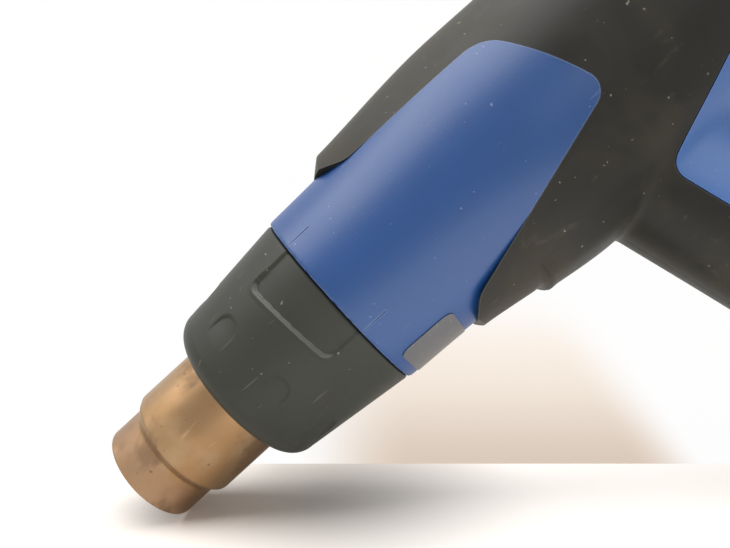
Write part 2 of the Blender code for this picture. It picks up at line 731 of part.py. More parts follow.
def build_housing(blue, black, grip_blue):
    reach = SIDE_REACH
    below = HOUSING_REAR - OVERRUN
    above = HOUSING_FRONT + OVERRUN
    mid_wall = RECESS_INSET + HARD_THICKNESS / 2
    outer = body_form("outer_form", 0.0, HOUSING_REAR, HOUSING_FRONT)
    lining = body_form("lining_form", SOFT_THICKNESS, below, above)
    recess = body_form("recess_form", RECESS_INSET, HOUSING_REAR, HOUSING_FRONT - FRONT_LAP)
    middle = body_form("middle_form", mid_wall, HOUSING_REAR, CAVITY_FRONT)
    cavity = body_form("cavity_form", CAVITY_INSET, below, CAVITY_FRONT)
    skin = soft_form("skin_form")

    window = barrel_window()
    window_cut = cutter(prism("window_cut", window, reach, SIDE_FRAME))
    island = cutter(prism("island_form", shrunk(window, GAP), reach, SIDE_FRAME))
    front_band = HOUSING_FRONT - SPINE_SETBACK
    band = cutter(rod("band_form", (0, 0, front_band + GAP), (0, 0, above), reach))
    boolean(island, band, "UNION")
    boolean(island, outer, "INTERSECT")
    base = BODY_NECK_RADIUS
    bore = base - 2 * CAVITY_INSET
    profile = (
        (bore, above),
        (reach, above),
        (reach, front_band - SPINE_SLOPE * (reach - base)),
        (base, front_band),
        (bore, front_band),
    )
    spine_cut = cutter(turned("spine_cut", profile, sides=BARREL_SIDES + 5))
    panel = grip_window()
    panel_cut = cutter(prism("panel_cut", panel, reach, GRIP_FRAME @ SIDE_FRAME))
    panel_block = cutter(prism("panel_block", shrunk(panel, GAP), reach, GRIP_FRAME @ SIDE_FRAME))

    root = HOUSING_FRONT - SPIGOT_ROOT
    spigot_radius = SLEEVE_REAR_RADIUS - SLEEVE_WALL - GAP
    spigot_top = HOUSING_FRONT + SPIGOT_LENGTH
    spigot_bore = spigot_radius - SPIGOT_WALL
    profile = (
        (spigot_radius, spigot_top),
        (spigot_radius, root),
        (spigot_bore, root),
        (spigot_bore, spigot_top),
    )
    spigot = cutter(turned("spigot_form", profile))

    bm = bmesh.new()
    insulator_hole = NOZZLE_BODY_RADIUS + INSULATOR_WALL + 2 * GAP
    hole_low = (0, 0, CAVITY_FRONT - OVERRUN)
    add_rod(bm, hole_low, (0, 0, above), insulator_hole, sides=BARREL_SIDES)
    half_width = PANEL_HALF_WIDTH + GAP
    panel_low = (-PANEL_START - PANEL_LENGTH - GAP, -half_width, -GRIP_BACK - OVERRUN)
    panel_high = (-PANEL_START + GAP, half_width, -GRIP_BACK + CAVITY_INSET + OVERRUN)
    add_box(bm, panel_low, panel_high, GRIP_FRAME)
    gland = CORD_CHANNEL + GLAND_WALL + GAP
    gland_start = (-GRIP_REACH + CAVITY_INSET + OVERRUN, 0, 0)
    add_rod(bm, gland_start, (-GRIP_REACH - OVERRUN, 0, 0), gland, GRIP_FRAME)
    ports = cutter(solid("port_cut", bm))

    shell = whole_space("shell_form")
    boolean(shell, recess, "INTERSECT")
    boolean(shell, island, "UNION")
    boolean(shell, spigot, "UNION")
    boolean(shell, cavity, "DIFFERENCE")
    boolean(shell, ports, "DIFFERENCE")

    cover = whole_space("cover_form")
    boolean(cover, skin, "INTERSECT")
    boolean(cover, lining, "DIFFERENCE")
    boolean(cover, window_cut, "DIFFERENCE")
    boolean(cover, spine_cut, "DIFFERENCE")
    boolean(cover, panel_cut, "DIFFERENCE")
    boolean(cover, ports, "DIFFERENCE")

    inlay = whole_space("inlay_form")
    boolean(inlay, outer, "INTERSECT")
    boolean(inlay, lining, "DIFFERENCE")
    boolean(inlay, panel_block, "INTERSECT")
    boolean(inlay, ports, "DIFFERENCE")

    posts = {}
    holes = {}
    for side, name in ((-1.0, "left"), (1.0, "right")):
        bm = bmesh.new()
        for place in screw_places():
            start = place + Vector((0.0, side * SPLIT_GAP / 2, 0.0))
            add_rod(bm, start, place + Vector((0.0, side * reach, 0.0)), BOSS_RADIUS, sides=SMALL_SIDES)
        if side > 0.0:
            board_back = BOARD_FACE + BOARD_THICKNESS + GAP
            for along in (BOARD_POST_ALONG_1, BOARD_POST_ALONG_2):
                start = (-along, board_back, 0)
                add_rod(bm, start, (-along, reach, 0), BOARD_POST_RADIUS, GRIP_FRAME, SMALL_SIDES)
            for forward in (-CLAMP_POST_SPACING, CLAMP_POST_SPACING):
                start = (-CLAMP_ALONG, -CORD_CHANNEL, forward)
                end = (-CLAMP_ALONG, reach, forward)
                add_rod(bm, start, end, CLAMP_POST_RADIUS, GRIP_FRAME, SMALL_SIDES)
        posts[name] = boolean(cutter(solid("post_form_" + name, bm)), middle, "INTERSECT")

        bm = bmesh.new()
        for place in screw_places():
            tip = place + Vector((0.0, SCREW_SEAT - SCREW_LENGTH - SCREW_ROOM, 0.0))
            top = place + Vector((0.0, SCREW_SEAT + SCREW_ROOM, 0.0))
            add_rod(bm, tip, top, SCREW_RADIUS + GAP, sides=SMALL_SIDES)
        if side > 0.0:
            for forward in (-CLAMP_POST_SPACING, CLAMP_POST_SPACING):
                start = (-CLAMP_ALONG, -CORD_CHANNEL - OVERRUN, forward)
                end = (-CLAMP_ALONG, -CORD_CHANNEL + CLAMP_SCREW_LENGTH, forward)
                add_rod(bm, start, end, CLAMP_SCREW_RADIUS + GAP, GRIP_FRAME, SMALL_SIDES)
        holes[name] = cutter(solid("screw_cut_" + name, bm))

    bm = bmesh.new()
    for place in screw_places():
        seat = place + Vector((0.0, SCREW_SEAT, 0.0))
        end = place + Vector((0.0, reach, 0.0))
        add_rod(bm, seat, end, SCREW_HEAD_RADIUS + GAP, sides=SMALL_SIDES)
    sinks = cutter(solid("head_cut", bm))

    for side, name in ((-1.0, "left"), (1.0, "right")):
        half = half_space("housing_" + name, side)
        boolean(half, shell, "INTERSECT")
        boolean(half, posts[name], "UNION")
        boolean(half, holes[name], "DIFFERENCE")
        if side > 0.0:
            boolean(half, sinks, "DIFFERENCE")
        part(half, blue)
        soft = half_space("soft_cover_" + name, side)
        boolean(soft, cover, "INTERSECT")
        if side > 0.0:
            boolean(soft, sinks, "DIFFERENCE")
        part(soft, black)
        plate = half_space("grip_panel_" + name, side)
        boolean(plate, inlay, "INTERSECT")
        part(plate, grip_blue)


def build_screws(steel):
    for number, place in enumerate(screw_places(), 1):
        profile = (
            (0.0, GAP + SCREW_HEAD),
            (0.8 * SCREW_HEAD_RADIUS, GAP + SCREW_HEAD),
            (SCREW_HEAD_RADIUS, GAP + 0.6 * SCREW_HEAD),
            (SCREW_HEAD_RADIUS, GAP),
            (SCREW_RADIUS, GAP),
            (SCREW_RADIUS, -SCREW_LENGTH + SCREW_POINT),
            (0.5 * SCREW_RADIUS, -SCREW_LENGTH),
            (0.0, -SCREW_LENGTH),
        )
        screw = turned("housing_screw_%d" % number, profile, closed=False, sides=SMALL_SIDES)
        matrix = Matrix.Translation(place + Vector((0.0, SCREW_SEAT, 0.0)))
        part(screw, steel, matrix=matrix @ Matrix.Rotation(math.radians(-90.0), 4, "X"))


def build_front(tinted_steel, black, ceramic):
    shoulder = NOZZLE_TIP - NOZZLE_TIP_LENGTH
    tip = NOZZLE_TIP_RADIUS
    body = NOZZLE_BODY_RADIUS
    edge = 0.15 * NOZZLE_WALL
    profile = (
        (tip - NOZZLE_WALL + edge, NOZZLE_TIP),
        (tip - edge, NOZZLE_TIP),
        (tip, NOZZLE_TIP - edge),
        (tip, shoulder),
        (tip + 0.35 * (body - tip), shoulder - 0.3 * NOZZLE_SHOULDER),
        (body - 0.2 * (body - tip), shoulder - 0.6 * NOZZLE_SHOULDER),
        (body, shoulder - NOZZLE_SHOULDER),
        (body, NOZZLE_REAR + NOZZLE_FLANGE),
        (NOZZLE_FLANGE_RADIUS, NOZZLE_REAR + NOZZLE_FLANGE),
        (NOZZLE_FLANGE_RADIUS, NOZZLE_REAR),
        (NOZZLE_BORE, NOZZLE_REAR),
        (NOZZLE_BORE, shoulder - NOZZLE_SHOULDER),
        (tip - NOZZLE_WALL, shoulder - 0.6 * NOZZLE_SHOULDER),
        (tip - NOZZLE_WALL, NOZZLE_TIP - edge),
    )
    part(turned("nozzle", profile), tinted_steel)

    rear = SLEEVE_REAR_RADIUS
    front = SLEEVE_FRONT_RADIUS
    wall = SLEEVE_WALL
    turn = SLEEVE_FRONT - SLEEVE_ROUNDING
    bend = (front - SLEEVE_ROUNDING, turn)
    bore = NOZZLE_BODY_RADIUS + SLEEVE_CLEARANCE
    seat = SLEEVE_REAR + SPIGOT_LENGTH + SLEEVE_SEAT
    profile = [(bore, SLEEVE_FRONT)]
    profile += arc(bend, SLEEVE_ROUNDING, 90.0, 0.0, 5)
    profile += [(rear, SLEEVE_REAR), (rear - wall, SLEEVE_REAR), (rear - wall, seat)]
    profile += [(rear - 2.0 * wall, seat), (front - wall, turn)]
    profile += arc(bend, SLEEVE_ROUNDING - wall, 0.0, 70.0, 2)
    profile += [(bore, SLEEVE_FRONT - wall)]
    part(turned("protective_sleeve", profile), black)

    inner = NOZZLE_BODY_RADIUS + GAP
    outer = inner + INSULATOR_WALL
    flange = cavity_radius(INSULATOR_REAR, CAVITY_FRONT) - GAP
    step = INSULATOR_REAR + INSULATOR_FLANGE
    profile = (
        (inner, HOUSING_FRONT),
        (outer, HOUSING_FRONT),
        (outer, step),
        (flange, step),
        (flange, INSULATOR_REAR),
        (inner, INSULATOR_REAR),
    )
    part(turned("insulator", profile), ceramic)


def build_heater(mica, ceramic, wire, steel, white):
    outer = NOZZLE_BORE - GAP
    inner = outer - MICA_WALL
    low = HEATER_FRONT + GAP
    high = low + MICA_LENGTH
    part(turned("mica_tube", ((inner, high), (outer, high), (outer, low), (inner, low))), mica)

    base_high = (0, 0, HEATER_FRONT)
    base = rod("heater_base", (0, 0, HEATER_REAR), base_high, HEATER_BASE_RADIUS, BARREL_SIDES)
    bm = bmesh.new()
    for index in range(4):
        turn = Matrix.Rotation(math.radians(45.0 + 90.0 * index), 4, "Z")
        start = turn @ Vector((PORT_OFFSET, 0.0, HEATER_REAR - OVERRUN))
        end = turn @ Vector((PORT_OFFSET, 0.0, HEATER_FRONT + OVERRUN))
        add_rod(bm, start, end, PORT_RADIUS, sides=PIN_SIDES)
    boolean(base, cutter(solid("heater_ports", bm)), "DIFFERENCE")
    part(base, ceramic)

    core_low = HEATER_FRONT + GAP
    core_high = HEATER_FRONT + CORE_LENGTH
    half_width = COIL_RADIUS - COIL_WIRE_RADIUS - GAP
    half = CORE_PLATE / 2
    core = box("heater_core", (-half_width, -half, core_low), (half_width, half, core_high))
    cross = box("core_cross", (-half, -half_width, core_low), (half, half_width, core_high))
    boolean(core, cutter(cross), "UNION")
    ring_out = COIL_RADIUS + COIL_WIRE_RADIUS + GAP
    ring_in = CORE_RING_BORE * ring_out
    ring_low = core_high - CORE_RING
    ring_high = core_high + CORE_RING_LIFT
    ring = turned(
        "core_ring",
        (
            (ring_in, ring_high),
            (ring_out, ring_high),
            (ring_out, ring_low),
            (ring_in, ring_low),
        ),
    )
    boolean(core, cutter(ring), "UNION")
    part(core, ceramic)

    tail = 2 * COIL_WIRE_RADIUS + GAP
    start = HEATER_FRONT + GAP + COIL_WIRE_RADIUS + tail
    end = ring_low - GAP - tail
    count = COIL_TURNS * COIL_POINTS_PER_TURN
    points = []
    for index in range(count + 1):
        angle = COIL_START + 2.0 * math.pi * index / COIL_POINTS_PER_TURN
        height = start + (end - start) * index / count
        points.append(Vector((COIL_RADIUS * math.cos(angle), COIL_RADIUS * math.sin(angle), height)))
    points.insert(0, points[0] - Vector((0.0, 0.0, tail)))
    points.append(points[-1] + Vector((0.0, 0.0, tail)))
    part(tube("heater_coil", points, COIL_WIRE_RADIUS, smooth=False), wire)
    print("least gap of the heater coil to itself: %.2f mm" % (coil_gap(points) / MM))

    probe_low = (PROBE_OFFSET, PROBE_OFFSET, core_low)
    probe_high = (PROBE_OFFSET, PROBE_OFFSET, core_low + PROBE_LENGTH)
    part(rod("temperature_probe", probe_low, probe_high, PROBE_RADIUS, SMALL_SIDES), steel)
    beside = -CORE_PLATE / 2 - GAP - CUTOUT_RADIUS
    cutout_low = (-CUTOUT_OFFSET, beside, core_low)
    cutout_high = (-CUTOUT_OFFSET, beside, core_low + CUTOUT_LENGTH)
    part(rod("thermal_cutout", cutout_low, cutout_high, CUTOUT_RADIUS, PIN_SIDES), white)


def coil_gap(points):
    """Least distance between the surfaces of neighbouring turns."""
    least = math.inf
    for index, point in enumerate(points):
        for other in points[index + COIL_POINTS_PER_TURN // 2 :]:
            least = min(least, (other - point).length)
    return least - 2 * COIL_WIRE_RADIUS


def lead_notch(name, low, high):
    """Cutter for the channel in which the heater leads pass the air duct and the motor mount."""
    reach = BODY_BACK_RADIUS
    notch = LEAD_NOTCH_HALF_WIDTH
    high_corner = (-LEAD_NOTCH_RADIUS, notch, high + OVERRUN)
    return cutter(box(name, (-reach, -notch, low - OVERRUN), high_corner))


def build_blower(grey, fan_white, steel, rubber, motor_steel, motor_black):
    bore = FAN_RADIUS + RUNNING_GAP
    flange_top = DUCT_REAR + DUCT_FLANGE
    flange = cavity_radius(DUCT_REAR, flange_top) - GAP
    straight = DUCT_REAR + DUCT_STRAIGHT
    neck = DUCT_FRONT - DUCT_NECK
    wall = DUCT_WALL
    profile = (
        (DUCT_FRONT_RADIUS, DUCT_FRONT),
        (DUCT_FRONT_RADIUS + wall, DUCT_FRONT),
        (DUCT_FRONT_RADIUS + wall, neck),
        (bore + wall, straight),
        (bore + wall, flange_top),
        (flange, flange_top),
        (flange, DUCT_REAR),
        (bore, DUCT_REAR),
        (bore, straight),
        (DUCT_FRONT_RADIUS, neck),
    )
    duct = turned("air_duct", profile)
    boolean(duct, lead_notch("duct_notch", DUCT_REAR, flange_top), "DIFFERENCE")
    part(duct, grey)

    inner = MOTOR_RADIUS + 2 * GAP + ISOLATOR_WALL
    rim = cavity_radius(MOUNT_REAR, MOUNT_FRONT) - GAP
    mount = turned(
        "motor_mount",
        (
            (rim - MOUNT_RING, MOUNT_FRONT),
            (rim, MOUNT_FRONT),
            (rim, MOUNT_REAR),
            (rim - MOUNT_RING, MOUNT_REAR),
        ),
    )
    seat_low = MOUNT_REAR + MOUNT_STEP
    seat_high = MOUNT_FRONT - MOUNT_STEP
    seat = turned(
        "mount_seat",
        (
            (inner, seat_high),
            (inner + MOUNT_RING, seat_high),
            (inner + MOUNT_RING, seat_low),
            (inner, seat_low),
        ),
    )
    bm = bmesh.new()
    for turn in (0.0, 120.0, 240.0):
        frame = Matrix.Rotation(math.radians(turn), 4, "Z")
        low = (inner + 0.4 * MOUNT_RING, -MOUNT_ARM_WIDTH / 2, seat_low + MOUNT_STEP)
        high = (rim - 0.4 * MOUNT_RING, MOUNT_ARM_WIDTH / 2, seat_high - MOUNT_STEP)
        add_box(bm, low, high, frame)
    boolean(mount, cutter(seat), "UNION")
    boolean(mount, cutter(solid("mount_arms", bm)), "UNION")
    boolean(mount, lead_notch("mount_notch", MOUNT_REAR, MOUNT_FRONT), "DIFFERENCE")
    part(mount, grey)

    inner = MOTOR_RADIUS + GAP
    outer = inner + ISOLATOR_WALL
    profile = (
        (inner, seat_high),
        (outer, seat_high),
        (outer, seat_low),
        (inner, seat_low),
    )
    part(turned("motor_isolator", profile), rubber)

    shaft_bore = SHAFT_RADIUS + GAP
    nose = 3.5 * SHAFT_RADIUS
    profile = (
        (shaft_bore, MOTOR_FRONT + MOTOR_NOSE),
        (nose, MOTOR_FRONT + MOTOR_NOSE),
        (nose, MOTOR_FRONT),
        (MOTOR_RADIUS - MOTOR_CHAMFER, MOTOR_FRONT),
        (MOTOR_RADIUS, MOTOR_FRONT - MOTOR_CHAMFER),
        (MOTOR_RADIUS, MOTOR_REAR),
        (shaft_bore, MOTOR_REAR),
    )
    part(turned("motor_case", profile, sides=ROUND_SIDES), motor_steel)
    cap_high = MOTOR_REAR - GAP
    cap_low = cap_high - MOTOR_CAP_LENGTH
    cap = MOTOR_RADIUS - MOTOR_CAP_STEP
    profile = (
        (shaft_bore, cap_high),
        (cap, cap_high),
        (cap, cap_low + MOTOR_CHAMFER),
        (cap - MOTOR_CHAMFER, cap_low),
        (shaft_bore, cap_low),
    )
    part(turned("motor_cap", profile, sides=ROUND_SIDES), motor_black)

    fan_top = FAN_REAR + FAN_LENGTH
    shaft_low = (0, 0, cap_low - SHAFT_END)
    shaft_high = (0, 0, fan_top + SHAFT_END)
    part(rod("rotor_shaft", shaft_low, shaft_high, SHAFT_RADIUS, PIN_SIDES), steel)
    profile = (
        (shaft_bore, fan_top),
        (0.6 * FAN_HUB_RADIUS, fan_top),
        (FAN_HUB_RADIUS, fan_top - 0.3 * FAN_LENGTH),
        (FAN_HUB_RADIUS, FAN_REAR),
        (shaft_bore, FAN_REAR),
    )
    fan = turned("fan", profile, sides=ROUND_SIDES)
    bm = bmesh.new()
    tip = math.sqrt(FAN_RADIUS**2 - (BLADE_CHORD / 2) ** 2)
    middle = FAN_REAR + 0.45 * FAN_LENGTH
    for index in range(FAN_BLADES):
        turn = Matrix.Rotation(2.0 * math.pi * index / FAN_BLADES, 4, "Z")
        frame = turn @ Matrix.Translation((0, 0, middle)) @ Matrix.Rotation(BLADE_PITCH, 4, "X")
        low = (0.8 * FAN_HUB_RADIUS, -BLADE_CHORD / 2, -BLADE_THICKNESS / 2)
        add_box(bm, low, (tip, BLADE_CHORD / 2, BLADE_THICKNESS / 2), frame)
    boolean(fan, cutter(solid("fan_blades", bm)), "UNION")
    part(fan, fan_white)


def build_rear(rubber, grey, wire):
    grille_low = STAND_LIP + GAP
    grille_high = grille_low + GRILLE_THICKNESS
    grille_radius = cavity_radius(HOUSING_REAR, grille_high) - GAP
    edge = STAND_ROUNDING
    profile = [(grille_radius + GAP, STAND_HEIGHT)]
    profile += arc((STAND_RADIUS - edge, STAND_HEIGHT - edge), edge, 90.0, 0.0, 3)
    profile += arc((STAND_RADIUS - edge, edge), edge, 0.0, -90.0, 3)
    profile += [(STAND_BORE, 0.0), (STAND_BORE, STAND_LIP), (grille_radius + GAP, STAND_LIP)]
    part(turned("stand_ring", profile), rubber)

    profile = (
        (0.0, grille_high),
        (grille_radius, grille_high),
        (grille_radius, grille_low),
        (GRILLE_FOOT, grille_low),
        (GRILLE_FOOT, 0.0),
        (0.0, 0.0),
    )
    grille = turned("intake_grille", profile, closed=False)
    bm = bmesh.new()
    for index in range(GRILLE_SLOTS):
        frame = Matrix.Rotation(2.0 * math.pi * (index + 0.5) / GRILLE_SLOTS, 4, "Z")
        low = (GRILLE_HUB, -GRILLE_SLOT_WIDTH / 2, grille_low - OVERRUN)
        high = (STAND_BORE - GRILLE_RIM, GRILLE_SLOT_WIDTH / 2, grille_high + OVERRUN)
        add_box(bm, low, high, frame)
    boolean(grille, cutter(solid("grille_slots", bm)), "DIFFERENCE")
    part(grille, grey)

    low = grille_high + GAP
    high = low + SCREEN_THICKNESS
    screen = rod("intake_screen", (0, 0, low), (0, 0, high), grille_radius, BARREL_SIDES)
    bm = bmesh.new()
    half = (SCREEN_MESH - SCREEN_WIRE) / 2
    reach = grille_radius - SCREEN_RIM
    steps = int(reach // SCREEN_MESH)
    for column in range(-steps, steps + 1):
        for row in range(-steps, steps + 1):
            x = column * SCREEN_MESH
            y = row * SCREEN_MESH
            if math.hypot(abs(x) + half, abs(y) + half) < reach:
                hole_low = (x - half, y - half, low - OVERRUN)
                add_box(bm, hole_low, (x + half, y + half, high + OVERRUN))
    boolean(screen, cutter(solid("screen_holes", bm)), "DIFFERENCE")
    part(screen, wire)


def build_controls(frame, panel_black, rocker_red, dial_grey, steel, switch_black, pot_blue):
    face = -PANEL_FACE
    plate_low = (-PANEL_START - PANEL_LENGTH, -PANEL_HALF_WIDTH, face)
    plate_high = (-PANEL_START, PANEL_HALF_WIDTH, face + PANEL_THICKNESS)
    panel = box("control_panel", plate_low, plate_high)
    bm = bmesh.new()
    slot = math.sqrt(DIAL_RADIUS**2 - (DIAL_BACK - PANEL_FACE + PANEL_THICKNESS) ** 2) + 2 * GAP
    behind = face + PANEL_THICKNESS + OVERRUN
    low = (-DIAL_ALONG - slot, -DIAL_HALF_WIDTH - 2 * GAP, face - OVERRUN)
    add_box(bm, low, (-DIAL_ALONG + slot, DIAL_HALF_WIDTH + 2 * GAP, behind))
    half = ROCKER_HALF_LENGTH + ROCKER_SWING
    low = (-ROCKER_ALONG - half, -ROCKER_HALF_WIDTH - GAP, face - OVERRUN)
    add_box(bm, low, (-ROCKER_ALONG + half, ROCKER_HALF_WIDTH + GAP, behind))
    slots = cutter(solid("panel_slots", bm))
    slots.parent = frame
    boolean(panel, slots, "DIFFERENCE")
    part(panel, panel_black, frame)

    outline = []
    for index in range(2 * DIAL_TEETH):
        radius = DIAL_RADIUS - (index % 2) * DIAL_TOOTH
        angle = math.pi * index / DIAL_TEETH
        outline.append(Vector((radius * math.cos(angle), radius * math.sin(angle))))
    dial = prism("temperature_dial", outline, DIAL_HALF_WIDTH, SIDE_FRAME)
    half = DIAL_HALF_WIDTH + OVERRUN
    hole = rod("dial_hole", (0, -half, 0), (0, half, 0), DIAL_SHAFT_RADIUS + GAP, PIN_SIDES)
    place = Matrix.Translation((-DIAL_ALONG, 0, -DIAL_BACK))
    boolean(dial, cutter(hole), "DIFFERENCE")
    hole.parent = frame
    hole.matrix_local = place
    part(dial, dial_grey, frame, place)
    shaft_end = DIAL_HALF_WIDTH + 2 * GAP + 0.5 * POT_THICKNESS
    shaft_start = -DIAL_HALF_WIDTH - DIAL_SHAFT_END
    shaft = rod("dial_shaft", (0, shaft_start, 0), (0, shaft_end, 0), DIAL_SHAFT_RADIUS, PIN_SIDES)
    part(shaft, steel, frame, place)
    low = (-POT_SIZE / 2, DIAL_HALF_WIDTH + 2 * GAP, -POT_SIZE / 2)
    pot = box("potentiometer", low, (POT_SIZE / 2, BOARD_FACE - GAP, POT_SIZE / 2))
    well = rod("pot_well", (0, 0, 0), (0, shaft_end + GAP, 0), DIAL_SHAFT_RADIUS + GAP, PIN_SIDES)
    boolean(pot, cutter(well), "DIFFERENCE")
    well.parent = frame
    well.matrix_local = place
    part(pot, pot_blue, frame, place)

    place = Matrix.Translation((-ROCKER_ALONG, 0, -ROCKER_BACK))
    top = -ROCKER_DEPTH - ROCKER_PROUD
    half = ROCKER_HALF_LENGTH
    foot = half - ROCKER_TAPER
    corners = (
        (-half, top, ROCKER_EDGE),
        (0.0, top + ROCKER_DISH, 0.0),
        (half, top, ROCKER_EDGE),
        (foot, -ROCKER_WAIST, ROCKER_HEEL_ROUNDING),
        (ROCKER_HEEL, ROCKER_HEEL, ROCKER_HEEL_ROUNDING),
        (-ROCKER_HEEL, ROCKER_HEEL, ROCKER_HEEL_ROUNDING),
        (-foot, -ROCKER_WAIST, ROCKER_HEEL_ROUNDING),
    )
    rocker = prism("switch_rocker", rounded(corners, 3), ROCKER_HALF_WIDTH, SIDE_FRAME)
    pin_hole = ROCKER_PIN_RADIUS + GAP
    pin_reach = SWITCH_HALF_WIDTH + OVERRUN
    pin_low = (0, -pin_reach, 0)
    pin_cut = cutter(rod("rocker_pin_cut", pin_low, (0, pin_reach, 0), pin_hole, SMALL_SIDES))
    pin_cut.parent = frame
    pin_cut.matrix_local = place
    boolean(rocker, pin_cut, "DIFFERENCE")
    part(rocker, rocker_red, frame, place)
    pin_end = SWITCH_HALF_WIDTH - GAP
    pin = rod("rocker_pin", (0, -pin_end, 0), (0, pin_end, 0), ROCKER_PIN_RADIUS, SMALL_SIDES)
    part(pin, steel, frame, place)

    rear = ROCKER_BACK - PANEL_FACE + PANEL_THICKNESS + GAP
    low = (-SWITCH_HALF_LENGTH, -SWITCH_HALF_WIDTH, rear)
    switch = box("switch_body", low, (SWITCH_HALF_LENGTH, SWITCH_HALF_WIDTH, rear + SWITCH_DEPTH))
    half = ROCKER_HALF_LENGTH + ROCKER_SWING
    width = ROCKER_HALF_WIDTH + GAP
    pocket_high = (half, width, rear + SWITCH_POCKET * SWITCH_DEPTH)
    pocket = cutter(box("switch_pocket", (-half, -width, rear - OVERRUN), pocket_high))
    pocket.parent = frame
    pocket.matrix_local = place
    boolean(switch, pocket, "DIFFERENCE")
    boolean(switch, pin_cut, "DIFFERENCE")
    part(switch, switch_black, frame, place)


def build_electrics(frame, board_green, aluminium, can_black, terminal_grey, black, steel, lead_colours):
    low = (-BOARD_END, BOARD_FACE, -BOARD_BACK)
    high = (-BOARD_START, BOARD_FACE + BOARD_THICKNESS, BOARD_FRONT)
    part(box("control_board", low, high), board_green, frame)

    top = BOARD_FACE - GAP
    sink_low = (-SINK_ALONG - SINK_LENGTH / 2, top - SINK_HEIGHT, BOARD_FRONT - SINK_WIDTH)
    sink = box("heat_sink", sink_low, (-SINK_ALONG + SINK_LENGTH / 2, top, BOARD_FRONT))
    bm = bmesh.new()
    pitch = SINK_LENGTH / (2 * SINK_FINS - 1)
    for index in range(SINK_FINS - 1):
        start = sink_low[0] + (2 * index + 1) * pitch
        low = (start, sink_low[1] - OVERRUN, sink_low[2] - OVERRUN)
        add_box(bm, low, (start + pitch, top - SINK_BASE, BOARD_FRONT + OVERRUN))
    grooves = cutter(solid("sink_grooves", bm))
    grooves.parent = frame
    boolean(sink, grooves, "DIFFERENCE")
    part(sink, aluminium, frame)

    spot = BOARD_FRONT - CAPACITOR_RADIUS
    low = (-CAPACITOR_ALONG, top - CAPACITOR_LENGTH, spot)
    part(rod("capacitor", low, (-CAPACITOR_ALONG, top, spot), CAPACITOR_RADIUS), can_black, frame)

    upper_end = TERMINAL_ALONG - TERMINAL_LENGTH / 2
    wall = grip_half_width(upper_end, -TERMINAL_HALF_DEPTH, CAVITY_INSET) - 2 * GAP
    low = (-TERMINAL_ALONG - TERMINAL_LENGTH / 2, wall - TERMINAL_WIDTH, -TERMINAL_HALF_DEPTH)
    high = (-TERMINAL_ALONG + TERMINAL_LENGTH / 2, wall, TERMINAL_HALF_DEPTH)
    part(box("terminal_block", low, high), terminal_grey, frame)

    seat = -CORD_CHANNEL - GAP
    low = (-CLAMP_ALONG - CLAMP_LENGTH / 2, seat - CLAMP_THICKNESS, -CLAMP_HALF_SPAN)
    clamp = box("cord_clamp", low, (-CLAMP_ALONG + CLAMP_LENGTH / 2, seat, CLAMP_HALF_SPAN))
    bm = bmesh.new()
    for forward in (-CLAMP_POST_SPACING, CLAMP_POST_SPACING):
        start = (-CLAMP_ALONG, seat - CLAMP_THICKNESS - OVERRUN, forward)
        end = (-CLAMP_ALONG, seat + OVERRUN, forward)
        add_rod(bm, start, end, CLAMP_SCREW_RADIUS + GAP, sides=SMALL_SIDES)
    holes = cutter(solid("clamp_holes", bm))
    holes.parent = frame
    boolean(clamp, holes, "DIFFERENCE")
    part(clamp, black, frame)
    for number, forward in ((1, -CLAMP_POST_SPACING), (2, CLAMP_POST_SPACING)):
        profile = (
            (0.0, CLAMP_SCREW_HEAD + GAP),
            (0.8 * CLAMP_SCREW_HEAD_RADIUS, CLAMP_SCREW_HEAD + GAP),
            (CLAMP_SCREW_HEAD_RADIUS, 0.6 * CLAMP_SCREW_HEAD + GAP),
            (CLAMP_SCREW_HEAD_RADIUS, GAP),
            (CLAMP_SCREW_RADIUS, GAP),
            (CLAMP_SCREW_RADIUS, -CLAMP_SCREW_LENGTH),
            (0.0, -CLAMP_SCREW_LENGTH),
        )
        screw = turned("clamp_screw_%d" % number, profile, closed=False, sides=SMALL_SIDES)
        place = Matrix.Translation((-CLAMP_ALONG, seat - CLAMP_THICKNESS, forward))
        part(screw, steel, frame, place @ Matrix.Rotation(math.radians(90.0), 4, "X"))

    outer = CORD_CHANNEL + GLAND_WALL
    flange = outer + GLAND_FLANGE
    inside = -GRIP_REACH + CAVITY_INSET + GAP
    outside = -GRIP_REACH - GAP
    length = GLAND_FLANGE_LENGTH
    profile = (
        (CORD_CHANNEL, inside + length),
        (flange, inside + length),
        (flange, inside),
        (outer, inside),
        (outer, outside),
        (flange, outside),
        (flange, outside - length + GLAND_CHAMFER),
        (flange - GLAND_CHAMFER, outside - length),
        (CORD_CHANNEL, outside - length),
    )
    gland = turned("cord_gland", profile, sides=ROUND_SIDES)
    part(gland, black, frame, Matrix.Rotation(math.radians(90.0), 4, "Y"))
    build_leads(lead_colours)


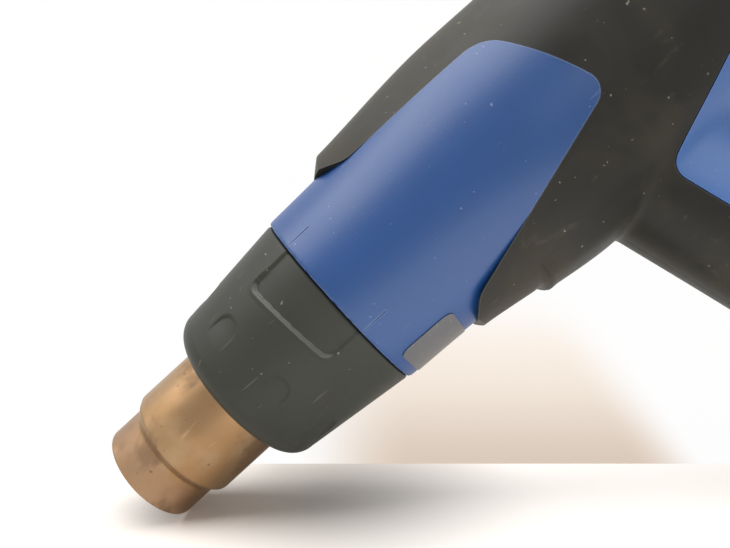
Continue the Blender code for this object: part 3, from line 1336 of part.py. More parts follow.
def build_leads(lead_colours):
    """Two leads to the heater and two to the motor, from the board's upper end."""
    board_y = BOARD_FACE - GAP - LEAD_RADIUS
    tail_x = -BOARD_START - LEAD_TAIL
    bend_x = -BOARD_START + LEAD_BEND
    channel = (LEAD_NOTCH_RADIUS + cavity_radius(MOUNT_REAR, DUCT_REAR)) / 2
    base_x = -HEATER_BASE_RADIUS + LEAD_RADIUS + GAP
    run = HEATER_LEAD_RUN
    drop = HEATER_LEAD_DROP
    for number, side in ((1, -1.0), (2, 1.0)):
        y = side * 0.45 * LEAD_NOTCH_HALF_WIDTH
        spread = side * HEATER_LEAD_SPREAD
        points = [
            GRIP_FRAME @ Vector((tail_x, board_y, spread - HEATER_LEAD_BACK)),
            GRIP_FRAME @ Vector((bend_x, board_y - 2 * LEAD_RADIUS, spread)),
            Vector((-channel, y, MOUNT_REAR - run)),
            Vector((-channel, y, MOUNT_REAR)),
            Vector((-channel, y, DUCT_REAR + run)),
            Vector((-channel + drop, y, HEATER_REAR - run - drop)),
            Vector((base_x, y, HEATER_REAR - drop)),
            Vector((base_x, y, HEATER_REAR - GAP)),
        ]
        lead = tube("heater_lead_%d" % number, points, LEAD_RADIUS, smooth=True)
        part(lead, lead_colours[number - 1])
    cap_low = MOTOR_REAR - GAP - MOTOR_CAP_LENGTH
    loop = MOTOR_LEAD_LOOP
    for number, side in ((1, -1.0), (2, 1.0)):
        y = side * MOTOR_LEAD_HALF_PITCH
        place = side * MOTOR_LEAD_SPREAD - MOTOR_LEAD_BACK
        points = [
            GRIP_FRAME @ Vector((tail_x, board_y, place)),
            GRIP_FRAME @ Vector((bend_x, board_y - LEAD_RADIUS, place - LEAD_RADIUS)),
            Vector((-MOTOR_RADIUS - loop, y, cap_low + 2 * LEAD_RADIUS)),
            Vector((-0.6 * MOTOR_RADIUS, y, cap_low - loop)),
            Vector((-0.5 * MOTOR_RADIUS, y, cap_low - GAP)),
        ]
        lead = tube("motor_lead_%d" % number, points, LEAD_RADIUS, smooth=True)
        part(lead, lead_colours[number + 1])


def main():
    for old in list(bpy.data.objects):
        bpy.data.objects.remove(old)
    bpy.context.scene.collection.children.link(PARTS)
    bpy.context.scene.collection.children.link(CUTTERS)

    blue = material("blue_shell", (0.02, 0.14, 0.42), 0.45)
    black = material("black_soft", (0.02, 0.02, 0.021), 0.8)
    black_hard = material("black_hard", (0.025, 0.026, 0.028), 0.55)
    steel = material("zinc_steel", (0.6, 0.6, 0.58), 0.35, 1.0)
    ceramic = material("ceramic", (0.75, 0.71, 0.63), 0.8)
    grey = material("grey_plastic", (0.16, 0.165, 0.17), 0.6)

    frame = bpy.data.objects.new("grip_frame", None)
    PARTS.objects.link(frame)
    frame.matrix_local = GRIP_FRAME

    build_housing(blue, black, material("blue_panel", (0.02, 0.15, 0.45), 0.25))
    build_screws(steel)
    build_front(material("tinted_steel", (0.55, 0.42, 0.3), 0.4, 1.0), black_hard, ceramic)
    build_heater(
        material("mica", (0.62, 0.5, 0.33), 0.6),
        ceramic,
        material("resistance_wire", (0.32, 0.3, 0.29), 0.45, 1.0),
        steel,
        material("cutout_white", (0.8, 0.79, 0.76), 0.5),
    )
    build_blower(
        grey,
        material("fan_plastic", (0.7, 0.7, 0.68), 0.5),
        steel,
        black,
        material("motor_steel", (0.5, 0.5, 0.5), 0.4, 1.0),
        black_hard,
    )
    build_rear(black, black_hard, material("screen_wire", (0.35, 0.35, 0.34), 0.5, 1.0))
    build_controls(
        frame,
        black_hard,
        material("rocker_red", (0.5, 0.03, 0.02), 0.4),
        material("dial_grey", (0.3, 0.31, 0.32), 0.5),
        steel,
        material("switch_black", (0.03, 0.03, 0.03), 0.5),
        material("pot_blue", (0.05, 0.12, 0.3), 0.5),
    )
    leads = (
        material("lead_white", (0.75, 0.74, 0.7), 0.55),
        material("lead_brown", (0.16, 0.07, 0.03), 0.55),
        material("lead_red", (0.5, 0.03, 0.03), 0.55),
        material("lead_dark", (0.02, 0.02, 0.02), 0.55),
    )
    build_electrics(
        frame,
        material("board_green", (0.03, 0.2, 0.08), 0.5),
        material("aluminium", (0.75, 0.75, 0.76), 0.35, 1.0),
        material("can_black", (0.04, 0.04, 0.05), 0.4),
        material("terminal_grey", (0.45, 0.46, 0.47), 0.55),
        black_hard,
        steel,
        leads,
    )


main()
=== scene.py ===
"""Hot-air gun: the looks of every piece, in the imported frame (metres, nozzle up the Z axis)."""

import math

import bpy
from mathutils import Matrix, Vector


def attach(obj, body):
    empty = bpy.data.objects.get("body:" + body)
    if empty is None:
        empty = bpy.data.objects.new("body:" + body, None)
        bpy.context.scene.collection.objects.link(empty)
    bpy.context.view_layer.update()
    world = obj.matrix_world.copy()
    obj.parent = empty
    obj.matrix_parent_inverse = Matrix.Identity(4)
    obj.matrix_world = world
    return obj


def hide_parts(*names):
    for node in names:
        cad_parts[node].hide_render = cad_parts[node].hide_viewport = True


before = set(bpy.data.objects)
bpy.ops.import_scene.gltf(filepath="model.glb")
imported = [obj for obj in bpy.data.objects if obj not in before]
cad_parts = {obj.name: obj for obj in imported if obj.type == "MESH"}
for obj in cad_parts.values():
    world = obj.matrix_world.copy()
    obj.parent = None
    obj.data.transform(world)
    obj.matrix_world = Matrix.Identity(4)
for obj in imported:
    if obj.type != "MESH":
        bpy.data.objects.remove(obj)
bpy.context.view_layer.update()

MM = 0.001
GAP = 0.3 * MM
AXIS = 0.0004 * MM  # radius of a ring that is merged into a point on the axis
MERGE = 10 * AXIS
FAR = 400 * MM  # half size of a block that holds one side of the gun
SEAM = 0.06 * MM  # between the island and the cover that is moulded round it
PROUD = 0.15 * MM  # of the island over the cover's edge
REACH = 60 * MM  # from the barrel's axis past the widest part of the body
SKIN_VOXEL, SKIN_PASSES = 0.6 * MM, 4
CREASE = math.radians(50)  # edges sharper than this are bevelled

# Body
HOUSING_REAR = 9.0 * MM
HOUSING_FRONT = 173.4 * MM
CAVITY_FRONT = 168.0 * MM
SOFT_INSET = 2.0 * MM
RECESS_INSET = 2.3 * MM
CAVITY_INSET = 4.8 * MM
BARREL = ((9, 38.6), (60, 39.4), (100, 38.7), (150, 33.6), (173.4, 32.7))
SPINE = ((9, 2), (60, 2), (100, 3.2), (150, 4.9), (162, 4.9))
KEEL = ((9, 2), (60, 2), (100, 3.6), (128, 3.2), (150, 2.7), (162, 2.7))
RIB = ((9, 0), (60, 0), (100, 2.1), (120, 1.9), (123.8, 2.3), (124.0, -0.4), (127, 0), (162, 0))
# Top or bottom, height along the barrel, and the cosines between which the height comes up
RISES = ((1, SPINE, (0.66, 0.97)), (-1, KEEL, (0.55, 0.95)), (-1, RIB, (0.84, 0.95)))
COVER_FRONT = 162 * MM
ISLAND_REAR = 60 * MM
BODY_SIDES = 160
SPINE_FRONT = 154.2 * MM
SPINE_BASE = 33.6 * MM
SPINE_SLOPE = 1.16
SPINE_BORE = 24 * MM
WINDOW = (
    (45, 176.4, 0),
    (25.2, 144, 9),
    (21.6, 95, 9),
    (-12.6, 83.2, 5),
    (-29.6, 142.5, 8),
    (-34, 146.8, 1),
    (-60, 133.4, 0),
    (-60, 233.4, 0),
    (60, 233.4, 0),
    (60, 176.4, 0),
)

# Grip, in its own frame: -X down the grip, +Z forward
GRIP = Matrix(
    ((0.97358, 0, -0.22835, 0), (0, 1, 0, 0), (0.22835, 0, 0.97358, 82.2 * MM), (0, 0, 0, 1))
)
GRIP_REACH = 166.6 * MM
GRIP_START = 0.07  # share of the reach, inside the barrel
GRIP_FRONT = ((0.07, 25), (0.25, 24), (0.42, 24), (0.84, 24), (0.94, 24.5), (1, 24.5))
GRIP_BACK = ((0.07, 28), (0.25, 25), (0.42, 24), (0.63, 24), (0.84, 25), (0.94, 26.5), (1, 26.5))
GRIP_WIDTH = (
    (0.07, 22.8), (0.25, 19.8), (0.42, 18.8), (0.63, 19.2), (0.84, 19.6), (0.94, 21.3), (1, 21.3)
)
GRIP_SQUARENESS = 2.6
HEEL_ROUNDING = 1.5 * MM
CROTCH_SPAN = (12 * MM, 75 * MM)
CROTCH_TIGHT, CROTCH_SPREAD, CROTCH_PASSES = 7, 17, 300
PANEL_WINDOW = ((-38.4, 7, 6), (-129.95, 7, 9), (-139.94, -54, 0), (-28, -54, 0))

# Picture
WIDTH_PX, FOCAL_PX, SENSOR = 730, 590, 36
AIM_HEIGHT, AIM_SHIFT, DISTANCE = 162.1 * MM, 0.74 * MM, 190 * MM
TILT = math.radians(10.7)
TOWARDS = Vector((-math.sin(TILT), -math.cos(TILT), 0))
TOPWARDS = Vector((math.cos(TILT), -math.sin(TILT), 0))
RIGHT = -0.7384 * Vector((0, 0, 1)) - 0.6744 * TOPWARDS
UP = -0.6744 * Vector((0, 0, 1)) + 0.7384 * TOPWARDS
VIEW = Matrix((RIGHT, UP, TOWARDS)).transposed().to_4x4()
PALE = (0.94, 0.89, 0.84)
WORLD_LIGHT = 0.28
LAMPS = (  # place to the right, up and towards the camera, size, watts
    ("key", (-0.30, 0.53, 0.12), (0.90, 0.60), 6.8),
    ("window", (0.30, 0.29, 0.58), (0.30, 0.30), 0.6),
    ("bounce", (0.02, -0.095, 0.05), (0.20, 0.20), 0.14),
)


def mm(*values):
    return Vector(values) * MM


def scaled(profile):
    """An outline in metres from one in millimetres."""
    return [(first * MM, second * MM) for first, second in profile]


def clear_selection():
    bpy.ops.object.select_all(action="DESELECT")


def take(piece):
    """Make one piece the only selected and active one."""
    clear_selection()
    piece.select_set(True)
    bpy.context.view_layer.objects.active = piece
    return piece


def edit(piece):
    take(piece)
    bpy.ops.object.mode_set(mode="EDIT")
    bpy.ops.mesh.select_all(action="SELECT")


def face_out():
    """Turn the faces of the piece in edit mode outwards, and leave edit mode."""
    bpy.ops.mesh.select_all(action="SELECT")
    bpy.ops.mesh.normals_make_consistent(inside=False)
    bpy.ops.object.mode_set(mode="OBJECT")


def put(piece, matrix):
    """Place a piece, and put the place into its mesh."""
    piece.matrix_world = matrix
    take(piece)
    bpy.ops.object.transform_apply()
    return piece


def settle(name, matrix=Matrix()):
    """Name the piece that was just added, and put its place into its mesh."""
    piece = bpy.context.object
    piece.name = name
    piece.data.name = name
    return put(piece, matrix @ piece.matrix_world)


def turned(name, profile, sides, matrix=Matrix()):
    """Spin a closed outline of (radius, height) points round the axis."""
    clear_selection()
    bpy.ops.mesh.primitive_circle_add(vertices=len(profile), radius=REACH)
    piece = settle(name)
    for point, (radius, height) in zip(piece.data.vertices, profile):
        point.co = (radius, 0, height)
    apply(
        piece, "SCREW", axis="Z", steps=sides, render_steps=sides,
        use_merge_vertices=True, merge_threshold=MERGE,
    )
    edit(piece)
    bpy.ops.mesh.remove_doubles(threshold=MERGE)
    bpy.ops.mesh.delete_loose()
    face_out()
    return put(piece, matrix)


def solid_turned(name, profile, sides):
    """A round piece that is closed on its axis at both ends."""
    ends = [(AXIS, profile[0][1])] + list(profile) + [(AXIS, profile[-1][1])]
    return turned(name, ends, sides)


def arc(centre, radius, start, end, steps):
    turns = [math.radians(start + (end - start) * k / steps) for k in range(steps + 1)]
    return [(centre[0] + radius * math.cos(a), centre[1] + radius * math.sin(a)) for a in turns]


def prism(name, outline, half, matrix=Matrix()):
    """A flat outline of (x, z) points, drawn out to both sides."""
    clear_selection()
    bpy.ops.mesh.primitive_circle_add(vertices=len(outline), radius=REACH, fill_type="NGON")
    piece = settle(name)
    for point, (x, z) in zip(piece.data.vertices, outline):
        point.co = (x, -half, z)
    edit(piece)
    bpy.ops.mesh.extrude_region_move(TRANSFORM_OT_translate={"value": (0, 2 * half, 0)})
    face_out()
    return put(piece, matrix)


def block(name, low, high, matrix=Matrix()):
    low, high = Vector(low), Vector(high)
    clear_selection()
    bpy.ops.mesh.primitive_cube_add(size=1, location=(low + high) / 2, scale=high - low)
    return settle(name, matrix)


def rod(name, start, end, radius, sides=48, matrix=Matrix()):
    start, end = Vector(start), Vector(end)
    clear_selection()
    turn = (end - start).to_track_quat("Z", "Y").to_euler()
    middle = (start + end) / 2
    bpy.ops.mesh.primitive_cylinder_add(
        vertices=sides, radius=radius, depth=(end - start).length, location=middle, rotation=turn
    )
    return settle(name, matrix)


def rounded(corners, steps=10):
    """Outline of (x, z) points in metres from corners of (x, z, radius) in millimetres."""
    outline = []
    ring = list(corners)
    for before, here, after in zip(ring[-1:] + ring[:-1], ring, ring[1:] + ring[:1]):
        spot, radius = Vector(here[:2]), here[2]
        if not radius:
            outline.append(spot * MM)
            continue
        back = (Vector(before[:2]) - spot).normalized()
        ahead = (Vector(after[:2]) - spot).normalized()
        half = back.angle(ahead) / 2
        centre = spot + (back + ahead).normalized() * radius / math.sin(half)
        start = spot + back * radius / math.tan(half) - centre
        turn = math.atan2(start.y, start.x)
        sweep = math.remainder(math.atan2(-back.y - ahead.y, -back.x - ahead.x) - turn, math.tau) * 2
        angles = [turn + sweep * k / steps for k in range(steps + 1)]
        outline += [(centre + Vector((math.cos(a), math.sin(a))) * radius) * MM for a in angles]
    return outline


def shrunk(outline, distance):
    """The outline set in by a distance."""
    area = sum(a.x * b.y - b.x * a.y for a, b in zip(outline, outline[1:] + outline[:1]))
    side = math.copysign(distance, area)
    inner = []
    for before, here, after in zip(outline[-1:] + outline[:-1], outline, outline[1:] + outline[:1]):
        first, second = (here - before).normalized(), (after - here).normalized()
        normal = Vector((-first.y, first.x)) + Vector((-second.y, second.x))
        inner.append(here + normal.normalized() * side / max(normal.length / 2, 0.3))
    return inner


def apply(piece, kind, **settings):
    """Add a modifier to a piece and apply it."""
    take(piece)
    modifier = piece.modifiers.new(kind.lower(), kind)
    modifier.show_viewport = False
    for name, value in settings.items():
        setattr(modifier, name, value)
    bpy.ops.object.modifier_apply(modifier=modifier.name)
    return piece


def bevel(piece, width, segments=2):
    return apply(
        piece, "BEVEL", width=width, segments=segments, limit_method="ANGLE", angle_limit=CREASE
    )


def twin(piece, name):
    take(piece)
    bpy.ops.object.duplicate()
    return settle(name)


def combine(piece, tool, operation, keep=False):
    apply(piece, "BOOLEAN", operation=operation, object=tool, solver="MANIFOLD")
    if not keep:
        bpy.data.objects.remove(tool)
    return piece


def join(piece, tool):
    return combine(piece, tool, "UNION")


def cut(piece, tool, keep=False):
    return combine(piece, tool, "DIFFERENCE", keep)


def meet(piece, tool):
    return combine(piece, tool, "INTERSECT")


def shape(piece, rule):
    """Move every point of a piece by a rule."""
    for point in piece.data.vertices:
        point.co = rule(point.co)
    piece.data.update()
    return piece


def drawn_in(point, share):
    """The point, drawn towards the axis by a share of its distance."""
    scale = 1 - share
    return Vector((point.x * scale, point.y * scale, point.z))


def bearing(point):
    """Angle round the barrel in degrees, from the photographed side to the top."""
    return math.degrees(math.atan2(point.x, -point.y))


def apart(angle, middle):
    """Difference of two angles in degrees, from -180 to 180."""
    return (angle - middle + 180) % 360 - 180


def soften(piece):
    """Knit a piece into one even skin and ease its edges."""
    apply(piece, "REMESH", mode="VOXEL", voxel_size=SKIN_VOXEL)
    return apply(piece, "SMOOTH", factor=0.5, iterations=SKIN_PASSES)


def step(value):
    value = min(max(value, 0.0), 1.0)
    return value * value * (3 - 2 * value)


def eased(table, at):
    """Smooth value between the (place, value) pairs of a table, without overshoot."""
    places, values = zip(*table)
    if at <= places[0]:
        return values[0]
    if at >= places[-1]:
        return values[-1]
    slopes = [(b - a) / (q - p) for (p, a), (q, b) in zip(table, table[1:])]
    inner = [2 * m * n / (m + n) if m * n > 0 else 0.0 for m, n in zip(slopes, slopes[1:])]
    tangents = [slopes[0]] + inner + [slopes[-1]]
    i = max(k for k, place in enumerate(places[:-1]) if place <= at)
    span = places[i + 1] - places[i]
    t = (at - places[i]) / span
    flat = values[i] * (1 + 2 * t) * (1 - t) ** 2 + values[i + 1] * t * t * (3 - 2 * t)
    return flat + span * (tangents[i] * t * (1 - t) ** 2 - tangents[i + 1] * t * t * (1 - t))


def barrel_radius(height):
    return eased(BARREL, height / MM) * MM


def rise(point):
    """How far the soft cover's spine or keel stands above the barrel at a point."""
    lean = point.x / math.hypot(point.x, point.y)
    height = 0.0
    for side, table, (start, full) in RISES:
        height += step((lean * side - start) / (full - start)) * eased(table, point.z / MM) * MM
    return height


def barrel(name, inset, rear, front, risen=False):
    count = round((front - rear) / ((0.5 if risen else 3) * MM))
    heights = [rear + (front - rear) * k / count for k in range(count + 1)]
    piece = solid_turned(name, [(barrel_radius(h) - inset, h) for h in heights], BODY_SIDES)

    def lift(point):
        across = math.hypot(point.x, point.y)
        if across < MERGE:
            return point
        return drawn_in(point, -rise(point) / across)

    return shape(piece, lift) if risen else piece


def grip_section(along, inset):
    share = along / GRIP_REACH
    return [eased(table, share) * MM - inset for table in (GRIP_FRONT, GRIP_BACK, GRIP_WIDTH)]


def grip(name, inset):
    unit = 20 * MM
    start, end = GRIP_START * GRIP_REACH, GRIP_REACH - inset
    bend = 2 * HEEL_ROUNDING
    places = [start + (end - bend - start) * k / 60 for k in range(61)]
    profile = [(unit, place) for place in places]
    profile += arc((unit - bend, end - bend), bend, 15, 90, 5)

    def form(point):
        share = math.hypot(point.x, point.y) / unit
        if share < 0.01:
            return GRIP @ Vector((-point.z, 0, 0))
        front, back, width = grip_section(point.z, inset)
        angle = math.atan2(point.y, point.x)
        side = math.copysign(abs(math.cos(angle)) ** (2 / GRIP_SQUARENESS), math.cos(angle))
        ahead = math.copysign(abs(math.sin(angle)) ** (2 / GRIP_SQUARENESS), math.sin(angle))
        depth = front if ahead > 0 else back
        return GRIP @ Vector((-point.z, -width * side * share, depth * ahead * share))

    return shape(solid_turned(name, profile, 96), form)


def body(name, inset, rear, front, risen=False):
    return join(barrel(name, inset, rear, front, risen), grip(name + "_grip", inset))


class Field:
    """A value, colour or vector in a finish, used in plain sums."""

    def __init__(self, finish, socket):
        self.finish = finish
        self.socket = socket

    def sum(self, operation, first, second):
        return self.finish.node("ShaderNodeMath", {"operation": operation}, {0: first, 1: second})

    def __add__(self, other):
        return self.sum("ADD", self, other)

    def __sub__(self, other):
        return self.sum("SUBTRACT", self, other)

    def __rsub__(self, other):
        return self.sum("SUBTRACT", other, self)

    def __mul__(self, other):
        return self.sum("MULTIPLY", self, other)

    def __neg__(self):
        return self.sum("SUBTRACT", 0, self)

    def __pow__(self, other):
        return self.sum("POWER", self, other)

    __radd__ = __add__


class Nodes:
    """A node tree whose sockets take fields or plain values."""

    def __init__(self, tree):
        self.tree = tree

    def feed(self, socket, value):
        if isinstance(value, Field):
            self.tree.links.new(value.socket, socket)
        else:
            socket.default_value = value

    def node(self, kind, settings={}, values={}, output=0):
        """Add any node: its settings, what its sockets take, and the output that is used."""
        made = self.tree.nodes.new(kind)
        for name, value in settings.items():
            setattr(made, name, value)
        for key, value in values.items():
            self.feed(made.inputs[key], value)
        return Field(self, made.outputs[output])

    def background_ray(self):
        """1 on a ray that shows the background: straight from the camera, mirrored, or through glass."""
        kinds = ("Is Camera Ray", "Is Glossy Ray", "Is Transmission Ray")
        camera, glossy, glass = [self.node("ShaderNodeLightPath", output=kind) for kind in kinds]
        settings = {"operation": "ADD", "use_clamp": True}
        return self.node("ShaderNodeMath", settings, {0: camera + glossy, 1: glass})


class Finish(Nodes):
    """A material and the nodes that make it vary over a piece."""

    def __init__(self, name, colour, roughness, **sockets):
        self.material = bpy.data.materials.new(name)
        self.material.use_nodes = True
        super().__init__(self.material.node_tree)
        self.shader = self.tree.nodes["Principled BSDF"]
        self.set("Base Color", (*colour, 1))
        self.set("Roughness", roughness)
        for socket, value in sockets.items():
            self.set(socket.replace("_", " ").title().replace("Ior", "IOR"), value)
        self.place = self.node("ShaderNodeTexCoord", output="Object")

    def set(self, socket, value):
        self.feed(self.shader.inputs[socket], value)

    def vectors(self, operation, first, second, output="Value"):
        settings = {"operation": operation}
        return self.node("ShaderNodeVectorMath", settings, {0: first, 1: second}, output)

    def noise(self, scale, detail=2.0, rough=0.5, stretch=None, twist=0.0):
        place = self.place
        if stretch:
            place = self.vectors("MULTIPLY", place, stretch, "Vector")
        values = {"Vector": place, "Scale": scale, "Detail": detail}
        values |= {"Roughness": rough, "Distortion": twist}
        return self.node("ShaderNodeTexNoise", values=values)

    def over(self, value, low, high):
        """0 below low, 1 above high, eased between them."""
        settings = {"interpolation_type": "SMOOTHSTEP"}
        values = {"Value": value, "From Min": low, "From Max": high}
        return self.node("ShaderNodeMapRange", settings, values)

    def mix(self, share, first, second):
        first, second = [(*c, 1) if isinstance(c, tuple) else c for c in (first, second)]
        settings = {"data_type": "RGBA"}
        return self.node("ShaderNodeMix", settings, {0: share, 6: first, 7: second}, 2)

    def along(self, way):
        """How far a place lies the given way from the origin."""
        return self.vectors("DOT_PRODUCT", self.place, way)

    def towards(self, way):
        """How far a face points the given way, from -1 to 1."""
        normal = self.node("ShaderNodeNewGeometry", output="Normal")
        return self.vectors("DOT_PRODUCT", normal, way)

    def edges(self, radius):
        """1 on an edge, 0 on a flat face: how the rounded normal leans from the true one. It marks worn
        edges, and in some finishes a painted edge highlight.
        """
        soft = self.node("ShaderNodeBevel", {"samples": 4}, {"Radius": radius})
        true = self.node("ShaderNodeNewGeometry", output="Normal")
        return self.over(1 - self.vectors("DOT_PRODUCT", soft, true), 0.004, 0.12)

    def bump(self, height, strength, distance):
        values = {"Strength": strength, "Distance": distance, "Height": height}
        self.set("Normal", self.node("ShaderNodeBump", values=values))


def tint(colour, factor):
    return tuple(channel * factor for channel in colour)


def moulded(name, colour, roughness, grain=2200, depth=0.02 * MM, dust=0.15):
    """Moulded plastic or rubber: fine grain, mottling, dust and rubbed edges."""
    finish = Finish(name, colour, roughness)
    mottle = finish.noise(70, 4, 0.6)
    specks = finish.over(finish.noise(900, 2, 0.5), 0.66, 0.74)
    base = finish.mix(mottle, tint(colour, 0.86), tint(colour, 1.14))
    worn = finish.mix(specks * dust, base, (0.55, 0.53, 0.48))
    finish.set("Base Color", finish.mix(finish.edges(0.6 * MM) * 0.25, worn, tint(colour, 1.9)))
    finish.set("Roughness", roughness + (mottle - 0.5) * 0.16)
    finish.bump(finish.noise(grain, 3, 0.6), 0.35, depth)
    return finish


def metal(name, colour, roughness):
    """Drawn or turned metal: fine lines, tarnish and bright edges."""
    finish = Finish(name, colour, roughness, metallic=1.0)
    lines = finish.noise(900, 3, 0.6, (1, 1, 8))
    tarnish = finish.over(finish.noise(120, 4, 0.65), 0.35, 0.75)
    base = finish.mix(tarnish * 0.5, colour, tint(colour, 0.62))
    finish.set("Base Color", finish.mix(finish.edges(0.4 * MM) * 0.4, base, tint(colour, 1.25)))
    finish.set("Roughness", roughness + (lines - 0.5) * 0.14 + tarnish * 0.1)
    finish.bump(lines, 0.2, 0.01 * MM)
    return finish


def tinted_steel():
    """Nozzle steel after long heat: straw to brown, painted shade on faces that point to the floor,
    smudges, nicks and rubbed lines.
    """
    straw, brown, pale = (0.32, 0.195, 0.097), (0.17, 0.108, 0.064), (0.37, 0.255, 0.150)
    finish = Finish("tinted_steel", straw, 0.42, metallic=1.0)
    drift = finish.noise(38, 4, 0.6)
    height = finish.along((0, 0, 1)) + (drift - 0.5) * 0.012
    base = finish.mix(finish.over(drift, 0.40, 0.62), straw, pale)
    base = finish.mix(finish.over(height, 0.2425, 0.2455) * 0.60, base, (0.33, 0.21, 0.135))
    smudge = finish.over(finish.noise(75, 4, 0.6, (1, 1, 0.7), 0.3), 0.53, 0.68)
    offset = finish.vectors("DISTANCE", finish.place, mm(1, -19.5, 224))
    patch = 1 - finish.over(offset + (drift - 0.5) * 0.02, 2 * MM, 11 * MM)
    base = finish.mix(smudge * 0.60 + patch * 0.45, base, brown)
    rubbed = finish.over(finish.noise(420, 2, 0.5, (1, 1, 0.16)), 0.68, 0.78)
    base = finish.mix(rubbed * 0.30, base, (0.58, 0.45, 0.31))
    nicks = finish.over(finish.noise(520, 2, 0.5), 0.71, 0.76)
    base = finish.mix(nicks * 0.7, base, (0.07, 0.045, 0.03))
    # Painted shade: faces that point down towards the floor are darkened, standing in for the dark floor
    # that the metal mirrors.
    painted_shade_below = finish.over(finish.towards(-UP), 0.72, 1.0)
    base = finish.mix(painted_shade_below * 0.50, base, (0.12, 0.085, 0.058))
    finish.set("Base Color", finish.mix(finish.edges(0.7 * MM) * 0.5, base, (0.60, 0.47, 0.34)))
    finish.set("Roughness", 0.42 + smudge * 0.14 + (drift - 0.5) * 0.2 - rubbed * 0.08)
    finish.bump(finish.noise(600, 4, 0.65) + smudge * 0.4 - nicks * 0.6, 0.25, 0.03 * MM)
    return finish


def blue_shell():
    """Blue moulded shell: satin, fine grain, faint scuffs, and lighter edges that are part wear, part
    painted highlight.
    """
    blue = (0.0085, 0.051, 0.182)
    finish = Finish("blue_shell", blue, 0.40, specular_ior_level=0.48)
    mottle = finish.noise(60, 4, 0.6)
    base = finish.mix(mottle, tint(blue, 0.88), tint(blue, 1.12))
    scuff = finish.over(finish.noise(300, 3, 0.6, (1, 1, 0.25), 0.4), 0.68, 0.78)
    base = finish.mix(scuff * 0.14, base, (0.30, 0.36, 0.46))
    specks = finish.over(finish.noise(800, 1, 0.4), 0.775, 0.81)
    base = finish.mix(specks * 0.35, base, (0.45, 0.50, 0.58))
    # Lighter edges: part wear, part painted highlight of the light line on the rounded edges.
    finish.set("Base Color", finish.mix(finish.edges(0.5 * MM) * 0.55, base, (0.22, 0.31, 0.50)))
    finish.set("Roughness", 0.40 + (mottle - 0.5) * 0.12 + scuff * 0.12)
    finish.bump(finish.noise(1300, 2, 0.55), 0.60, 0.05 * MM)
    return finish


def black_soft():
    """Soft black cover: deep black, brown dust in drifts, a lighter top that is part dust and part painted
    sheen, smudges and light specks.
    """
    black = (0.0105, 0.0100, 0.0080)
    sheen = {"sheen_weight": 0.05, "sheen_tint": (1.0, 0.97, 0.85, 1)}
    finish = Finish("black_soft", black, 0.50, specular_ior_level=0.18, **sheen)
    mottle = finish.noise(60, 5, 0.62)
    base = finish.mix(mottle, tint(black, 0.7), tint(black, 1.4))
    drift = finish.over(finish.noise(24, 4, 0.55, twist=0.6), 0.44, 0.66)
    base = finish.mix(drift * 0.60, base, (0.040, 0.034, 0.023))
    # Lighter on faces that point to the gun's top: part dust, part painted sheen from the overhead lamp.
    top = finish.over(finish.towards((1, 0, 0)), 0.30, 0.92) * (0.35 + mottle)
    base = finish.mix(top * 0.12, base, (0.16, 0.15, 0.115))
    smudge = finish.over(finish.noise(150, 4, 0.6, (1, 1, 0.5), 0.6), 0.60, 0.75)
    base = finish.mix(smudge * 0.22, base, (0.12, 0.105, 0.08))
    specks = finish.over(finish.noise(700, 1, 0.4), 0.755, 0.80)
    base = finish.mix(specks * 0.45, base, (0.35, 0.32, 0.25))
    finish.set("Base Color", finish.mix(finish.edges(0.6 * MM) * 0.30, base, (0.14, 0.135, 0.11)))
    finish.set("Roughness", 0.46 + (mottle - 0.5) * 0.2 + drift * 0.14)
    finish.bump(finish.noise(1100, 3, 0.6) + smudge * 0.3, 0.45, 0.035 * MM)
    return finish


def black_hard():
    """Hard black sleeve: dark grey, matt, with fine light scratches and painted highlights on the lip and
    edges of the finger recess.
    """
    black = (0.034, 0.036, 0.029)
    finish = Finish("black_hard", black, 0.48, specular_ior_level=0.18)
    mottle = finish.noise(70, 4, 0.6)
    base = finish.mix(mottle, tint(black, 0.80), tint(black, 1.22))
    lines = finish.over(finish.noise(600, 1, 0.4, (1, 1, 0.07), 0.5), 0.745, 0.79)
    across = finish.over(finish.noise(520, 1, 0.4, (0.08, 0.08, 1), 0.5), 0.745, 0.79)
    base = finish.mix(lines * 0.20 + across * 0.16, base, (0.26, 0.25, 0.22))
    # Painted highlight: faces near the front of the finger recess that point back along the barrel are made
    # paler, as if catching the light.
    lip = finish.over(finish.towards((0, 0, -1)), 0.05, 0.45)
    lip = lip * finish.over(finish.along((0, 0, 1)), 178 * MM, 181 * MM)
    base = finish.mix(lip * 0.40, base, (0.20, 0.20, 0.18))
    specks = finish.over(finish.noise(750, 1, 0.4), 0.77, 0.81)
    base = finish.mix(specks * 0.50, base, (0.33, 0.33, 0.29))
    # Lighter edges: part wear, part painted highlight on the recess walls and lip.
    finish.set("Base Color", finish.mix(finish.edges(0.5 * MM) * 0.50, base, (0.25, 0.25, 0.22)))
    finish.set("Roughness", 0.46 + (mottle - 0.5) * 0.16 + lines * 0.1)
    finish.bump(finish.noise(1500, 3, 0.6) - lines * 0.3, 0.40, 0.025 * MM)
    return finish


